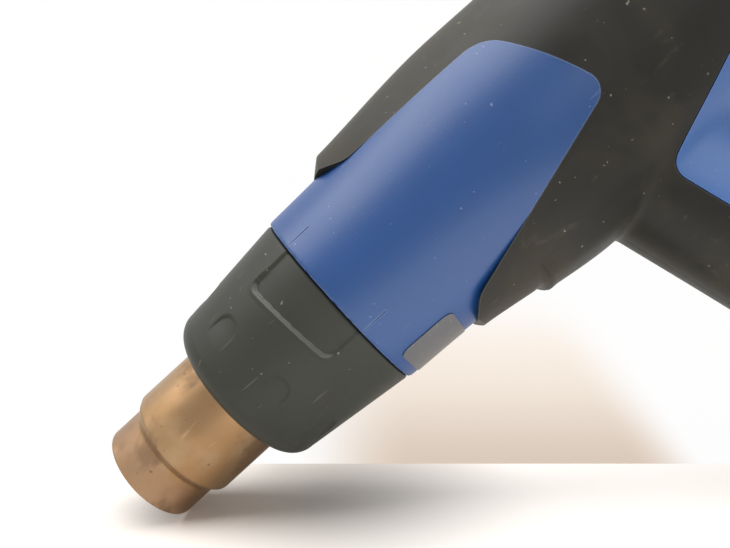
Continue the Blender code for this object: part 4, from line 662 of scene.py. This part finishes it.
finishes = {
    "blue_shell": blue_shell(),
    "black_soft": black_soft(),
    "black_hard": black_hard(),
    "tinted_steel": tinted_steel(),
    "blue_panel": moulded("blue_panel", (0.045, 0.125, 0.345), 0.32, 1200, 0.01 * MM, 0.06),
    "ceramic": moulded("ceramic", (0.70, 0.66, 0.58), 0.75, 1500, 0.03 * MM, 0.05),
    "mica": moulded("mica", (0.48, 0.40, 0.28), 0.35, 500, 0.02 * MM, 0.1),
    "resistance_wire": metal("resistance_wire", (0.30, 0.25, 0.21), 0.45),
    "zinc_steel": metal("zinc_steel", (0.62, 0.62, 0.63), 0.32),
    "grey_plastic": moulded("grey_plastic", (0.16, 0.165, 0.17), 0.48),
    "fan_plastic": moulded("fan_plastic", (0.62, 0.61, 0.57), 0.45),
    "motor_steel": metal("motor_steel", (0.50, 0.50, 0.50), 0.36),
    "rubber_black": moulded("rubber_black", (0.028, 0.028, 0.027), 0.78, 1400, 0.03 * MM),
    "screen_wire": metal("screen_wire", (0.55, 0.55, 0.54), 0.38),
    "rocker_red": moulded("rocker_red", (0.42, 0.020, 0.014), 0.30, 1800, 0.01 * MM, 0.05),
    "dial_grey": moulded("dial_grey", (0.22, 0.225, 0.23), 0.45),
    "switch_black": moulded("switch_black", (0.025, 0.025, 0.026), 0.42),
    "pot_blue": moulded("pot_blue", (0.04, 0.12, 0.30), 0.40),
    "board_green": moulded("board_green", (0.030, 0.15, 0.055), 0.38, 900, 0.02 * MM),
    "aluminium": metal("aluminium", (0.66, 0.67, 0.68), 0.34),
    "can_black": moulded("can_black", (0.022, 0.022, 0.026), 0.28),
    "terminal_grey": moulded("terminal_grey", (0.42, 0.42, 0.40), 0.45),
    "cutout_white": moulded("cutout_white", (0.66, 0.65, 0.61), 0.50),
    "lead_white": moulded("lead_white", (0.64, 0.62, 0.57), 0.55),
    "lead_brown": moulded("lead_brown", (0.13, 0.055, 0.025), 0.50),
    "lead_red": moulded("lead_red", (0.40, 0.025, 0.02), 0.50),
    "lead_dark": moulded("lead_dark", (0.028, 0.028, 0.03), 0.50),
    "label_grey": moulded("label_grey", (0.085, 0.087, 0.092), 0.34, 1500, 0.01 * MM, 0.2),
}
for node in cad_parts.values():
    for place in node.material_slots:
        place.material = finishes[place.material.name.split(".")[0]].material


def fit(piece, rides, slot, *nodes, angle=40, finish=None):
    """Give a finished piece its looks, its body, its slot and the CAD nodes that it stands for."""
    take(piece)
    bpy.ops.object.shade_smooth_by_angle(angle=math.radians(angle))
    piece.data.materials.clear()
    piece.data.materials.append(finishes[finish or slot].material)
    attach(piece, rides)
    if nodes:
        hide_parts(*nodes)
    return piece


def halves(piece, name, gap=GAP):
    """Part a piece on the split plane into a left and a right one."""
    right = twin(piece, name + "_right")
    piece.name = name + "_left"
    near = gap / 2
    cut(piece, block("right_side", (-FAR, -near, -FAR), (FAR, FAR, FAR)))
    cut(right, block("left_side", (-FAR, -FAR, -FAR), (FAR, near, FAR)))
    return piece, right


def screw_places():
    barrel_spots = [mm(x, 0, z) for x, z in ((31.6, 108.4), (30, 26), (-30, 26))]
    grip_spots = [GRIP @ mm(x, 0, z) for x, z in ((-60, 15.6), (-118, 15.6), (-141, -15))]
    return barrel_spots + grip_spots


def gather(name, pieces):
    """Join pieces that don't touch into one."""
    for piece in pieces:
        piece.select_set(True)
    bpy.context.view_layer.objects.active = pieces[0]
    bpy.ops.object.join()
    return settle(name)


def screw_rods(name, start, radius):
    """Rods on the screws' axes, from a distance right of the split to beyond the outside."""
    low, high = Vector((0, start, 0)), Vector((0, REACH, 0))
    return gather(name, [rod(name, spot + low, spot + high, radius, 40) for spot in screw_places()])


def ports():
    """Openings for the insulator, the control panel and the cord gland."""
    made = rod("ports", (0, 0, CAVITY_FRONT - 5 * MM), (0, 0, HOUSING_FRONT + 5 * MM), 21.7 * MM, 128)
    join(made, block("panel_port", mm(-97.3, -9.5, -29), mm(-49.7, 9.5, -14.2), GRIP))
    start, end = (-GRIP_REACH + 9.8 * MM, 0, 0), (-GRIP_REACH - 5 * MM, 0, 0)
    return join(made, rod("gland_port", start, end, 6.8 * MM, 64, GRIP))


def ease_crotch(piece):
    """Blend the corner of grip and barrel: tight in front, wide at the sides and behind."""
    group = piece.vertex_groups.new(name="crotch")
    inverse = GRIP.inverted()
    for point in piece.data.vertices:
        spot = point.co
        own = inverse @ spot
        if not CROTCH_SPAN[0] < -own.x < CROTCH_SPAN[1]:
            continue
        wide = step((9 * MM - own.z) / (16 * MM))
        reach = (CROTCH_TIGHT + CROTCH_SPREAD * wide) * MM
        off_barrel = abs(math.hypot(spot.x, spot.y) - barrel_radius(spot.z) - rise(spot))
        front, back, width = grip_section(-own.x, 0)
        depth = front if own.z > 0 else back
        power = GRIP_SQUARENESS
        size = (abs(own.y / width) ** power + abs(own.z / depth) ** power) ** (1 / power)
        weight = 1 - step(max(abs(size - 1) * 20 * MM, off_barrel) / reach)
        if weight > 0:
            group.add([point.index], weight * (0.15 + 0.85 * wide), "REPLACE")
    apply(piece, "SMOOTH", factor=0.5, iterations=CROTCH_PASSES, vertex_group="crotch")
    piece.vertex_groups.clear()
    return piece


def build_body():
    below, above = HOUSING_REAR - 5 * MM, HOUSING_FRONT + 5 * MM
    lining = body("lining", SOFT_INSET, below, above)
    window = rounded(WINDOW)
    panel = rounded(PANEL_WINDOW)
    openings = ports()
    wells = screw_rods("wells", 7 * MM, 3.1 * MM)

    cover = body("cover", 0, HOUSING_REAR, COVER_FRONT, risen=True)
    slope_end = SPINE_FRONT - SPINE_SLOPE * (REACH - SPINE_BASE)
    profile = ((SPINE_BORE, above), (REACH, above), (REACH, slope_end))
    profile += ((SPINE_BASE, SPINE_FRONT), (SPINE_BORE, SPINE_FRONT))
    cut(cover, turned("spine_cut", profile, BODY_SIDES))
    ease_crotch(soften(cover))
    cut(cover, lining, keep=True)
    cut(cover, openings, keep=True)
    inlay = twin(cover, "inlay")
    meet(inlay, prism("panel_block", shrunk(panel, GAP), REACH, GRIP))
    cut(cover, prism("window_cut", window, REACH))
    cut(cover, prism("panel_cut", panel, REACH, GRIP))
    for piece, slot, node in (
        (cover, "black_soft", "soft_cover"),
        (inlay, "blue_panel", "grip_panel"),
    ):
        left, right = halves(piece, piece.name)
        cut(right, wells, keep=True)
        fit(left, "gun", slot, node + "_left")
        fit(right, "gun", slot, node + "_right")

    island = soften(barrel("island", -PROUD, ISLAND_REAR, HOUSING_FRONT))
    trim = prism("trim", shrunk(window, SEAM), REACH)
    meet(island, join(trim, rod("band", (0, 0, SPINE_FRONT + SEAM), (0, 0, above), REACH, 64)))
    shell = body("shell", RECESS_INSET, HOUSING_REAR, HOUSING_FRONT - 3 * MM)
    join(shell, island)
    cut(shell, body("cavity", CAVITY_INSET, below, CAVITY_FRONT))
    cut(shell, openings)
    turns = [Matrix.Rotation(math.radians(lean), 4, "Z") for lean in (-29, 29, 151, 209)]
    low, high = mm(-0.2, -40, 164.5), mm(0.2, -32.8, 180)
    cut(shell, gather("grooves", [block("groove", low, high, turn) for turn in turns]))
    ring = ((29.9, 180.4), (29.9, 170.9), (27.9, 170.9), (27.9, 180.4))
    join(shell, turned("spigot", scaled(ring), BODY_SIDES))
    left, right = halves(shell, "shell", 0.04 * MM)
    join(right, meet(screw_rods("bosses", 0.2 * MM, 4.2 * MM), lining))
    cut(right, wells)
    fit(left, "gun", "blue_shell", "housing_left")
    fit(right, "gun", "blue_shell", "housing_right")


def build_sleeve():
    profile = [(31.4, 173.7)] + arc((31.2, 174.7), 1.0, -50, 0, 4)
    profile += [(32.2 - 3.9 * k / 88, 174.9 + 35.8 * k / 88) for k in range(89)]
    profile += arc((21.3, 210.7), 7.0, 6, 84, 14)
    profile += [(21.3, 217.7)] + arc((21.3, 217.2), 0.5, 120, 180, 3)
    profile += [(20.8, 215.7)] + arc((21.3, 210.7), 5.0, 84, 0, 6)
    profile += [(28.2, 182.7), (30.2, 182.7), (30.2, 173.7)]
    sleeve = turned("sleeve", scaled(profile), 720)

    def outside(across, ahead, corner):
        """Distance out of a corner of that radius, both measured from its straight sides."""
        across, ahead = across + corner, ahead + corner
        return math.hypot(max(across, 0), max(ahead, 0)) + min(max(across, ahead), 0) - corner

    def carve(point):
        radius, height = math.hypot(point.x, point.y) / MM, point.z / MM
        if radius < 21 or radius < 31.0 - (height - 173.7) * 0.105 - 0.4:
            return point
        angle = bearing(point)
        depth = 0.0
        for middle, slant in ((0, 1), (180, -1)):
            lean = apart(angle, middle)
            front = 186.8 + 0.053 * lean * slant
            away = outside(abs(math.radians(lean) * radius) - 15.9, height - front, 3)
            lip = step((height - 179) / 6)
            depth += (0.75 + 0.15 * lip) * step(0.5 - away / 0.6)
            depth -= 0.30 * lip * math.exp(-((away - 0.9) / 0.45) ** 2)
        lean = (angle + 180) % 45 - 22.5
        away = outside(abs(math.radians(lean) * radius) - 4.2, 198 - height, 3.9)
        depth += 0.6 * step(0.5 - away / 0.6) * (1 - step((height - 200) / 7.5))
        return drawn_in(point, depth / radius)

    fit(shape(sleeve, carve), "sleeve", "black_hard", "protective_sleeve", angle=60)


def build_nozzle():
    profile = [(26.0, 162.2), (26.0, 163.4), (20.3, 163.4)] + arc((20.3, 164.2), 0.8, -100, -180, 4)
    profile += [(19.5, 165 + 74.6 * k / 60) for k in range(61)]
    profile += arc((17.5, 239.8), 2.0, 6, 52, 7)
    profile += arc((18.2, 243.9), 1.2, 232, 180, 6)
    profile += [(17.0, 244.6 + 9.7 * k / 10) for k in range(11)]
    profile += arc((16.5, 254.5), 0.5, 0, 180, 8)
    profile += [(16.0, 245), (16.0, 243.6), (18.4, 240.6), (18.5, 239), (18.5, 163.4), (18.5, 162.2)]
    nozzle = turned("nozzle", scaled(profile), 192)
    dents = ((-12, 236.5, 0.25, 3), (28, 225, 0.18, 4), (-40, 249.5, 0.3, 2.2), (5, 221, 0.12, 3))
    dents += ((60, 240, 0.25, 2.5), (150, 232, 0.2, 4), (-120, 246, 0.22, 3), (35, 252.5, 0.2, 1.6))

    def dent(point):
        radius, height = math.hypot(point.x, point.y) / MM, point.z / MM
        if height < 215:
            return point
        angle = bearing(point)
        depth = 0.0
        for middle, level, deep, wide in dents:
            lean = apart(angle, middle)
            away = math.hypot(math.radians(lean) * radius, height - level)
            depth += deep * math.exp(-((away / wide) ** 2))
        return drawn_in(point, depth / radius)

    fit(shape(nozzle, dent), "gun", "tinted_steel", "nozzle", angle=50)


def build_rear():
    profile = [(33.8, 8.7)] + arc((41.3, 6.5), 2.2, 90, 0, 8) + arc((41.0, 2.5), 2.5, 0, -90, 8)
    profile += [(37.5, 0.0), (37.0, 0.5), (35.6, 0.5), (35.1, 0.0), (31.6, 0.0), (31.0, 0.6)]
    profile += [(31.0, 5.7), (33.8, 5.7)]
    ring = turned("foot_ring", scaled(profile), 160)
    fit(ring, "gun", "rubber_black", "stand_ring", angle=35)

    profile = [(8.2, 0.0), (9.0, 0.8), (9.0, 5.2), (9.8, 6.0), (33.0, 6.0), (33.5, 6.5), (33.5, 10.0)]
    grille = solid_turned("grille", scaled(profile), 128)
    slot = rounded([(11, -1.5, 1.4), (27, -1.5, 1.4), (27, 1.5, 1.4), (11, 1.5, 1.4)], 5)
    flat = Matrix.Rotation(math.radians(-90), 4, "X")
    turns = [Matrix.Rotation(math.radians((k + 0.5) * 22.5), 4, "Z") for k in range(16)]
    cut(grille, gather("slots", [prism("slot", slot, 20 * MM, turn @ flat) for turn in turns]))
    bevel(grille, 0.35 * MM)
    fit(grille, "gun", "grey_plastic", "intake_grille", angle=35)


def build_screws():
    profile = [(1.4, -8.5), (1.4, 0), (2.6, 0), (2.8, 0.2), (2.8, 1.2)] + arc((1.8, 1.2), 1.0, 20, 90, 4)
    screw = solid_turned("screw", scaled(profile), 48)
    arms = block("slot_1", mm(-1.9, -0.32, 0.9), mm(1.9, 0.32, 4))
    join(arms, block("slot_2", mm(-0.32, -1.9, 0.9), mm(0.32, 1.9, 4)))
    cut(screw, arms)
    bevel(screw, 0.08 * MM)
    outward = Matrix.Rotation(math.radians(-90), 4, "X")
    for k, spot in enumerate(screw_places()):
        turn = Matrix.Rotation(math.radians(37 * k), 4, "Z")
        seat = Matrix.Translation(spot + mm(0, 7, 0))
        piece = put(twin(screw, f"screw_{k + 1}"), seat @ outward @ turn)
        fit(piece, "gun", "zinc_steel", f"housing_screw_{k + 1}", angle=35)
    bpy.data.objects.remove(screw)


def build_controls():
    panel = block("panel", mm(-97, -9.2, -24.6), mm(-50, 9.2, -21.6), GRIP)
    cut(panel, block("dial_slot", mm(-72.7, -3.6, -30), mm(-54.3, 3.6, -15), GRIP))
    cut(panel, block("rocker_slot", mm(-94, -5.5, -30), mm(-78, 5.5, -15), GRIP))
    bevel(panel, 0.5 * MM, 3)
    fit(panel, "gun", "switch_black", "control_panel", angle=35)

    sideways = Matrix.Rotation(math.radians(90), 4, "X")
    place = GRIP @ Matrix.Translation(mm(-63.5, 0, -15.9)) @ sideways
    edge = [(2.8, 3.0), (9.4, 3.0), (10.2, 2.4), (10.5, 1.9)]
    profile = [(r, -z) for r, z in edge] + edge[::-1]
    dial = turned("dial", scaled(profile), 192)

    def knurl(point):
        radius = math.hypot(point.x, point.y)
        if radius < 9.8 * MM:
            return point
        wave = 0.5 - 0.5 * math.cos(24 * math.atan2(point.y, point.x))
        return drawn_in(point, 0.6 * MM * wave ** 3 / radius)

    put(shape(dial, knurl), place)
    fit(dial, "dial", "dial_grey", "temperature_dial", angle=35)

    corners = [(-6.4, -11, 0.9), (0, -10, 12), (6.4, -11, 0.9)]
    corners += [(6, -1.5, 1), (2.6, 2.6, 1), (-2.6, 2.6, 1), (-6, -1.5, 1)]
    place = GRIP @ Matrix.Translation(mm(-86, 0, -15.6))
    rocker = prism("rocker", rounded(corners), 5.2 * MM, place)
    cut(rocker, rod("pin_hole", mm(0, -9, 0), mm(0, 9, 0), 1.3 * MM, 32, place))
    bevel(rocker, 0.45 * MM, 3)
    fit(rocker, "rocker", "rocker_red", "switch_rocker", angle=35)

    down = GRIP @ Matrix.Rotation(math.radians(-90), 4, "Y")
    profile = [(6.5, 161.5), (6.5, 166.9), (8.1, 166.9), (8.1, 168.6)] + arc((7.0, 168.8), 1.1, 10, 90, 5)
    profile += arc((4.9, 169.2), 0.7, 90, 180, 4) + [(4.2, 161.5)]
    gland = turned("gland", scaled(profile), 96, down)
    fit(gland, "gun", "rubber_black", "cord_gland", angle=35)


def build_heater():
    profile = [(17.4, 162.2), (18.2, 162.2), (18.2, 235.0), (18.0, 235.2), (17.6, 235.2), (17.4, 235.0)]
    tube = turned("mica_sleeve", scaled(profile), 96)
    fit(tube, "gun", "mica", "mica_tube", angle=35)

    clear_selection()
    sides, turns, steps = 12, 6, 64
    across, wire, climb = 14.2 * MM, 0.8 * MM, 63.2
    lean = math.radians(20)
    bpy.ops.mesh.primitive_circle_add(
        vertices=sides, radius=wire, fill_type="NGON", rotation=(math.radians(90), 0, lean),
        location=(across * math.cos(lean), across * math.sin(lean), 164.9 * MM),
    )
    coil = settle("coil")
    apply(
        coil, "SCREW", axis="Z", angle=math.radians(360), iterations=turns, steps=steps,
        render_steps=steps, screw_offset=climb / turns * MM, use_merge_vertices=False,
        use_smooth_shade=True,
    )
    edit(coil)
    bpy.ops.mesh.remove_doubles(threshold=0.01 * MM)
    bpy.ops.mesh.fill_holes(sides=sides)
    face_out()
    fit(coil, "gun", "resistance_wire", "heater_coil")


def build_label():
    """Blank grey plate on the underside of the front band."""
    clear_selection()
    bpy.ops.mesh.primitive_grid_add(x_subdivisions=80, y_subdivisions=24, size=2)
    plate = settle("label")

    def wrap(point):
        wide, tall, corner = 36.0, 9.3, 3.2  # halves: degrees round the barrel, mm along it
        shares = ((point.x, wide), (point.y, tall))
        over = [max(abs(share) * half - half + corner, 0) for share, half in shares]
        pull = min(corner / max(math.hypot(*over), 1e-6), 1)
        lean = math.copysign(min(abs(point.x) * wide, wide - corner) + over[0] * pull, point.x)
        level = math.copysign(min(abs(point.y) * tall, tall - corner) + over[1] * pull, point.y)
        angle = math.radians(lean - 90)
        height = (160.6 + level) * MM
        radius = barrel_radius(height) + PROUD + 0.05 * MM
        return Vector((radius * math.sin(angle), -radius * math.cos(angle), height))

    shape(plate, wrap)
    apply(plate, "SOLIDIFY", thickness=0.35 * MM, offset=0.6)
    bevel(plate, 0.1 * MM)
    fit(plate, "gun", "grey_plastic", finish="label_grey")


def pale_finish(name):
    """Finish of the floor or the wall: pale, with painted shadow below the barrel, clear from behind."""
    pale = Finish(name, PALE, 0.9, specular_ior_level=0.0, emission_strength=1.0)
    grain = pale.noise(300, 3, 0.6)
    side, deep = pale.along(RIGHT), -pale.along(UP)
    seen = pale.background_ray()
    shown = 1 - pale.node("ShaderNodeNewGeometry", output="Backfacing")
    if name == "floor":
        # Painted shadow: the floor's colour darkens towards the wall below the barrel.
        painted_floor_shadow = pale.over(-pale.along(TOWARDS), 16 * MM, 40 * MM)
        painted_floor_shadow = painted_floor_shadow * pale.over(side, -175 * MM, -150 * MM) * pale.over(-side, 50 * MM, 90 * MM)
        pale.set("Base Color", pale.mix(painted_floor_shadow * 0.3 + grain * 0.04, PALE, (0.50, 0.43, 0.36)))
        # Painted light: seen straight or in a mirror, the right part of the floor glows, whitening the
        # lamps' shadow there.
        painted_floor_light = pale.over(side, -140 * MM, -50 * MM) * seen
        pale.set("Emission Color", pale.mix(painted_floor_light, (0, 0, 0), (0.6, 0.57, 0.54)))
    else:
        shown = shown * seen
        # Painted shadow: the wall's glow turns pinkish and darker in a soft patch below the barrel.
        shade = pale.over(deep * 0.72 - side, 116 * MM, 146 * MM)
        shade = shade * pale.over(side, -150 * MM, -100 * MM)
        warm = pale.over(deep, 112 * MM, 145 * MM) * shade
        dark = pale.over(deep, 119 * MM, 187 * MM) ** 2 * shade
        glow = pale.mix(warm, (0.97, 0.97, 0.97), (0.94, 0.85, 0.76))
        pale.set("Emission Color", pale.mix(dark, glow, (0.68, 0.57, 0.48)))
        pale.set("Base Color", pale.mix(grain, (0.035, 0.03, 0.03), (0.045, 0.04, 0.04)))
    pale.bump(grain, 0.05, 0.05 * MM)
    clear = pale.node("ShaderNodeBsdfTransparent")
    face = Field(pale, pale.shader.outputs[0])
    both = pale.node("ShaderNodeMixShader", values={0: shown, 1: clear, 2: face})
    pale.feed(pale.tree.nodes["Material Output"].inputs["Surface"], both)
    return pale


def build_camera():
    lens = bpy.data.cameras.new("camera")
    lens.sensor_width = SENSOR
    lens.lens = FOCAL_PX / WIDTH_PX * SENSOR
    lens.clip_start = 10 * MM
    camera = bpy.data.objects.new("camera", lens)
    bpy.context.scene.collection.objects.link(camera)
    spot = Vector((0, 0, AIM_HEIGHT)) + TOWARDS * DISTANCE + TOPWARDS * AIM_SHIFT
    camera.matrix_world = Matrix.Translation(spot) @ VIEW
    bpy.context.scene.camera = camera


def build_ground():
    """A floor that the tip of the nozzle touches, and a wall behind the gun."""
    rim = Vector((0, 0, 255 * MM)) - 17 * MM * TOPWARDS
    low = UP.dot(rim) - 0.1 * MM
    high = low + 320 * MM
    left, right, back, front = -450 * MM, 400 * MM, -46 * MM, 300 * MM
    sheets = {
        "floor": ((left, low, front), (right, low, front), (right, low, back), (left, low, back)),
        "wall": ((left, low, back), (right, low, back), (right, high, back), (left, high, back)),
    }
    for name, corners in sheets.items():
        clear_selection()
        bpy.ops.mesh.primitive_circle_add(vertices=4, fill_type="NGON")
        sheet = settle(name)
        for point, corner in zip(sheet.data.vertices, corners):
            point.co = VIEW @ Vector(corner)
        sheet.data.update()
        sheet.data.materials.append(pale_finish(name).material)


def build_light():
    """Soft lamps round the gun, and a world that is white where it is seen and dimmer as light."""
    middle = mm(0, 0, 120)
    for name, (right, up, towards), (wide, tall), power in LAMPS:
        lamp = bpy.data.lights.new(name, "AREA")
        lamp.shape = "RECTANGLE"
        lamp.size, lamp.size_y = wide, tall
        lamp.energy = power
        light = bpy.data.objects.new(name, lamp)
        light.visible_camera = False
        bpy.context.scene.collection.objects.link(light)
        away = RIGHT * right + UP * up + TOWARDS * towards
        aim = away.normalized()
        level = (RIGHT - aim * aim.dot(RIGHT)).normalized()
        turn = Matrix((level, aim.cross(level), aim)).transposed().to_4x4()
        light.matrix_world = Matrix.Translation(middle + away) @ turn

    world = bpy.data.worlds.new("white")
    bpy.context.scene.world = world
    world.use_nodes = True
    sky = Nodes(world.node_tree)
    background = sky.tree.nodes["Background"].inputs
    sky.feed(background["Color"], (1, 1, 1, 1))
    sky.feed(background["Strength"], WORLD_LIGHT + sky.background_ray() * (1 - WORLD_LIGHT))
    bpy.context.scene.view_settings.view_transform = "Standard"


build_body()
build_sleeve()
build_nozzle()
build_rear()
build_screws()
build_controls()
build_heater()
build_label()
build_camera()
build_ground()
build_light()
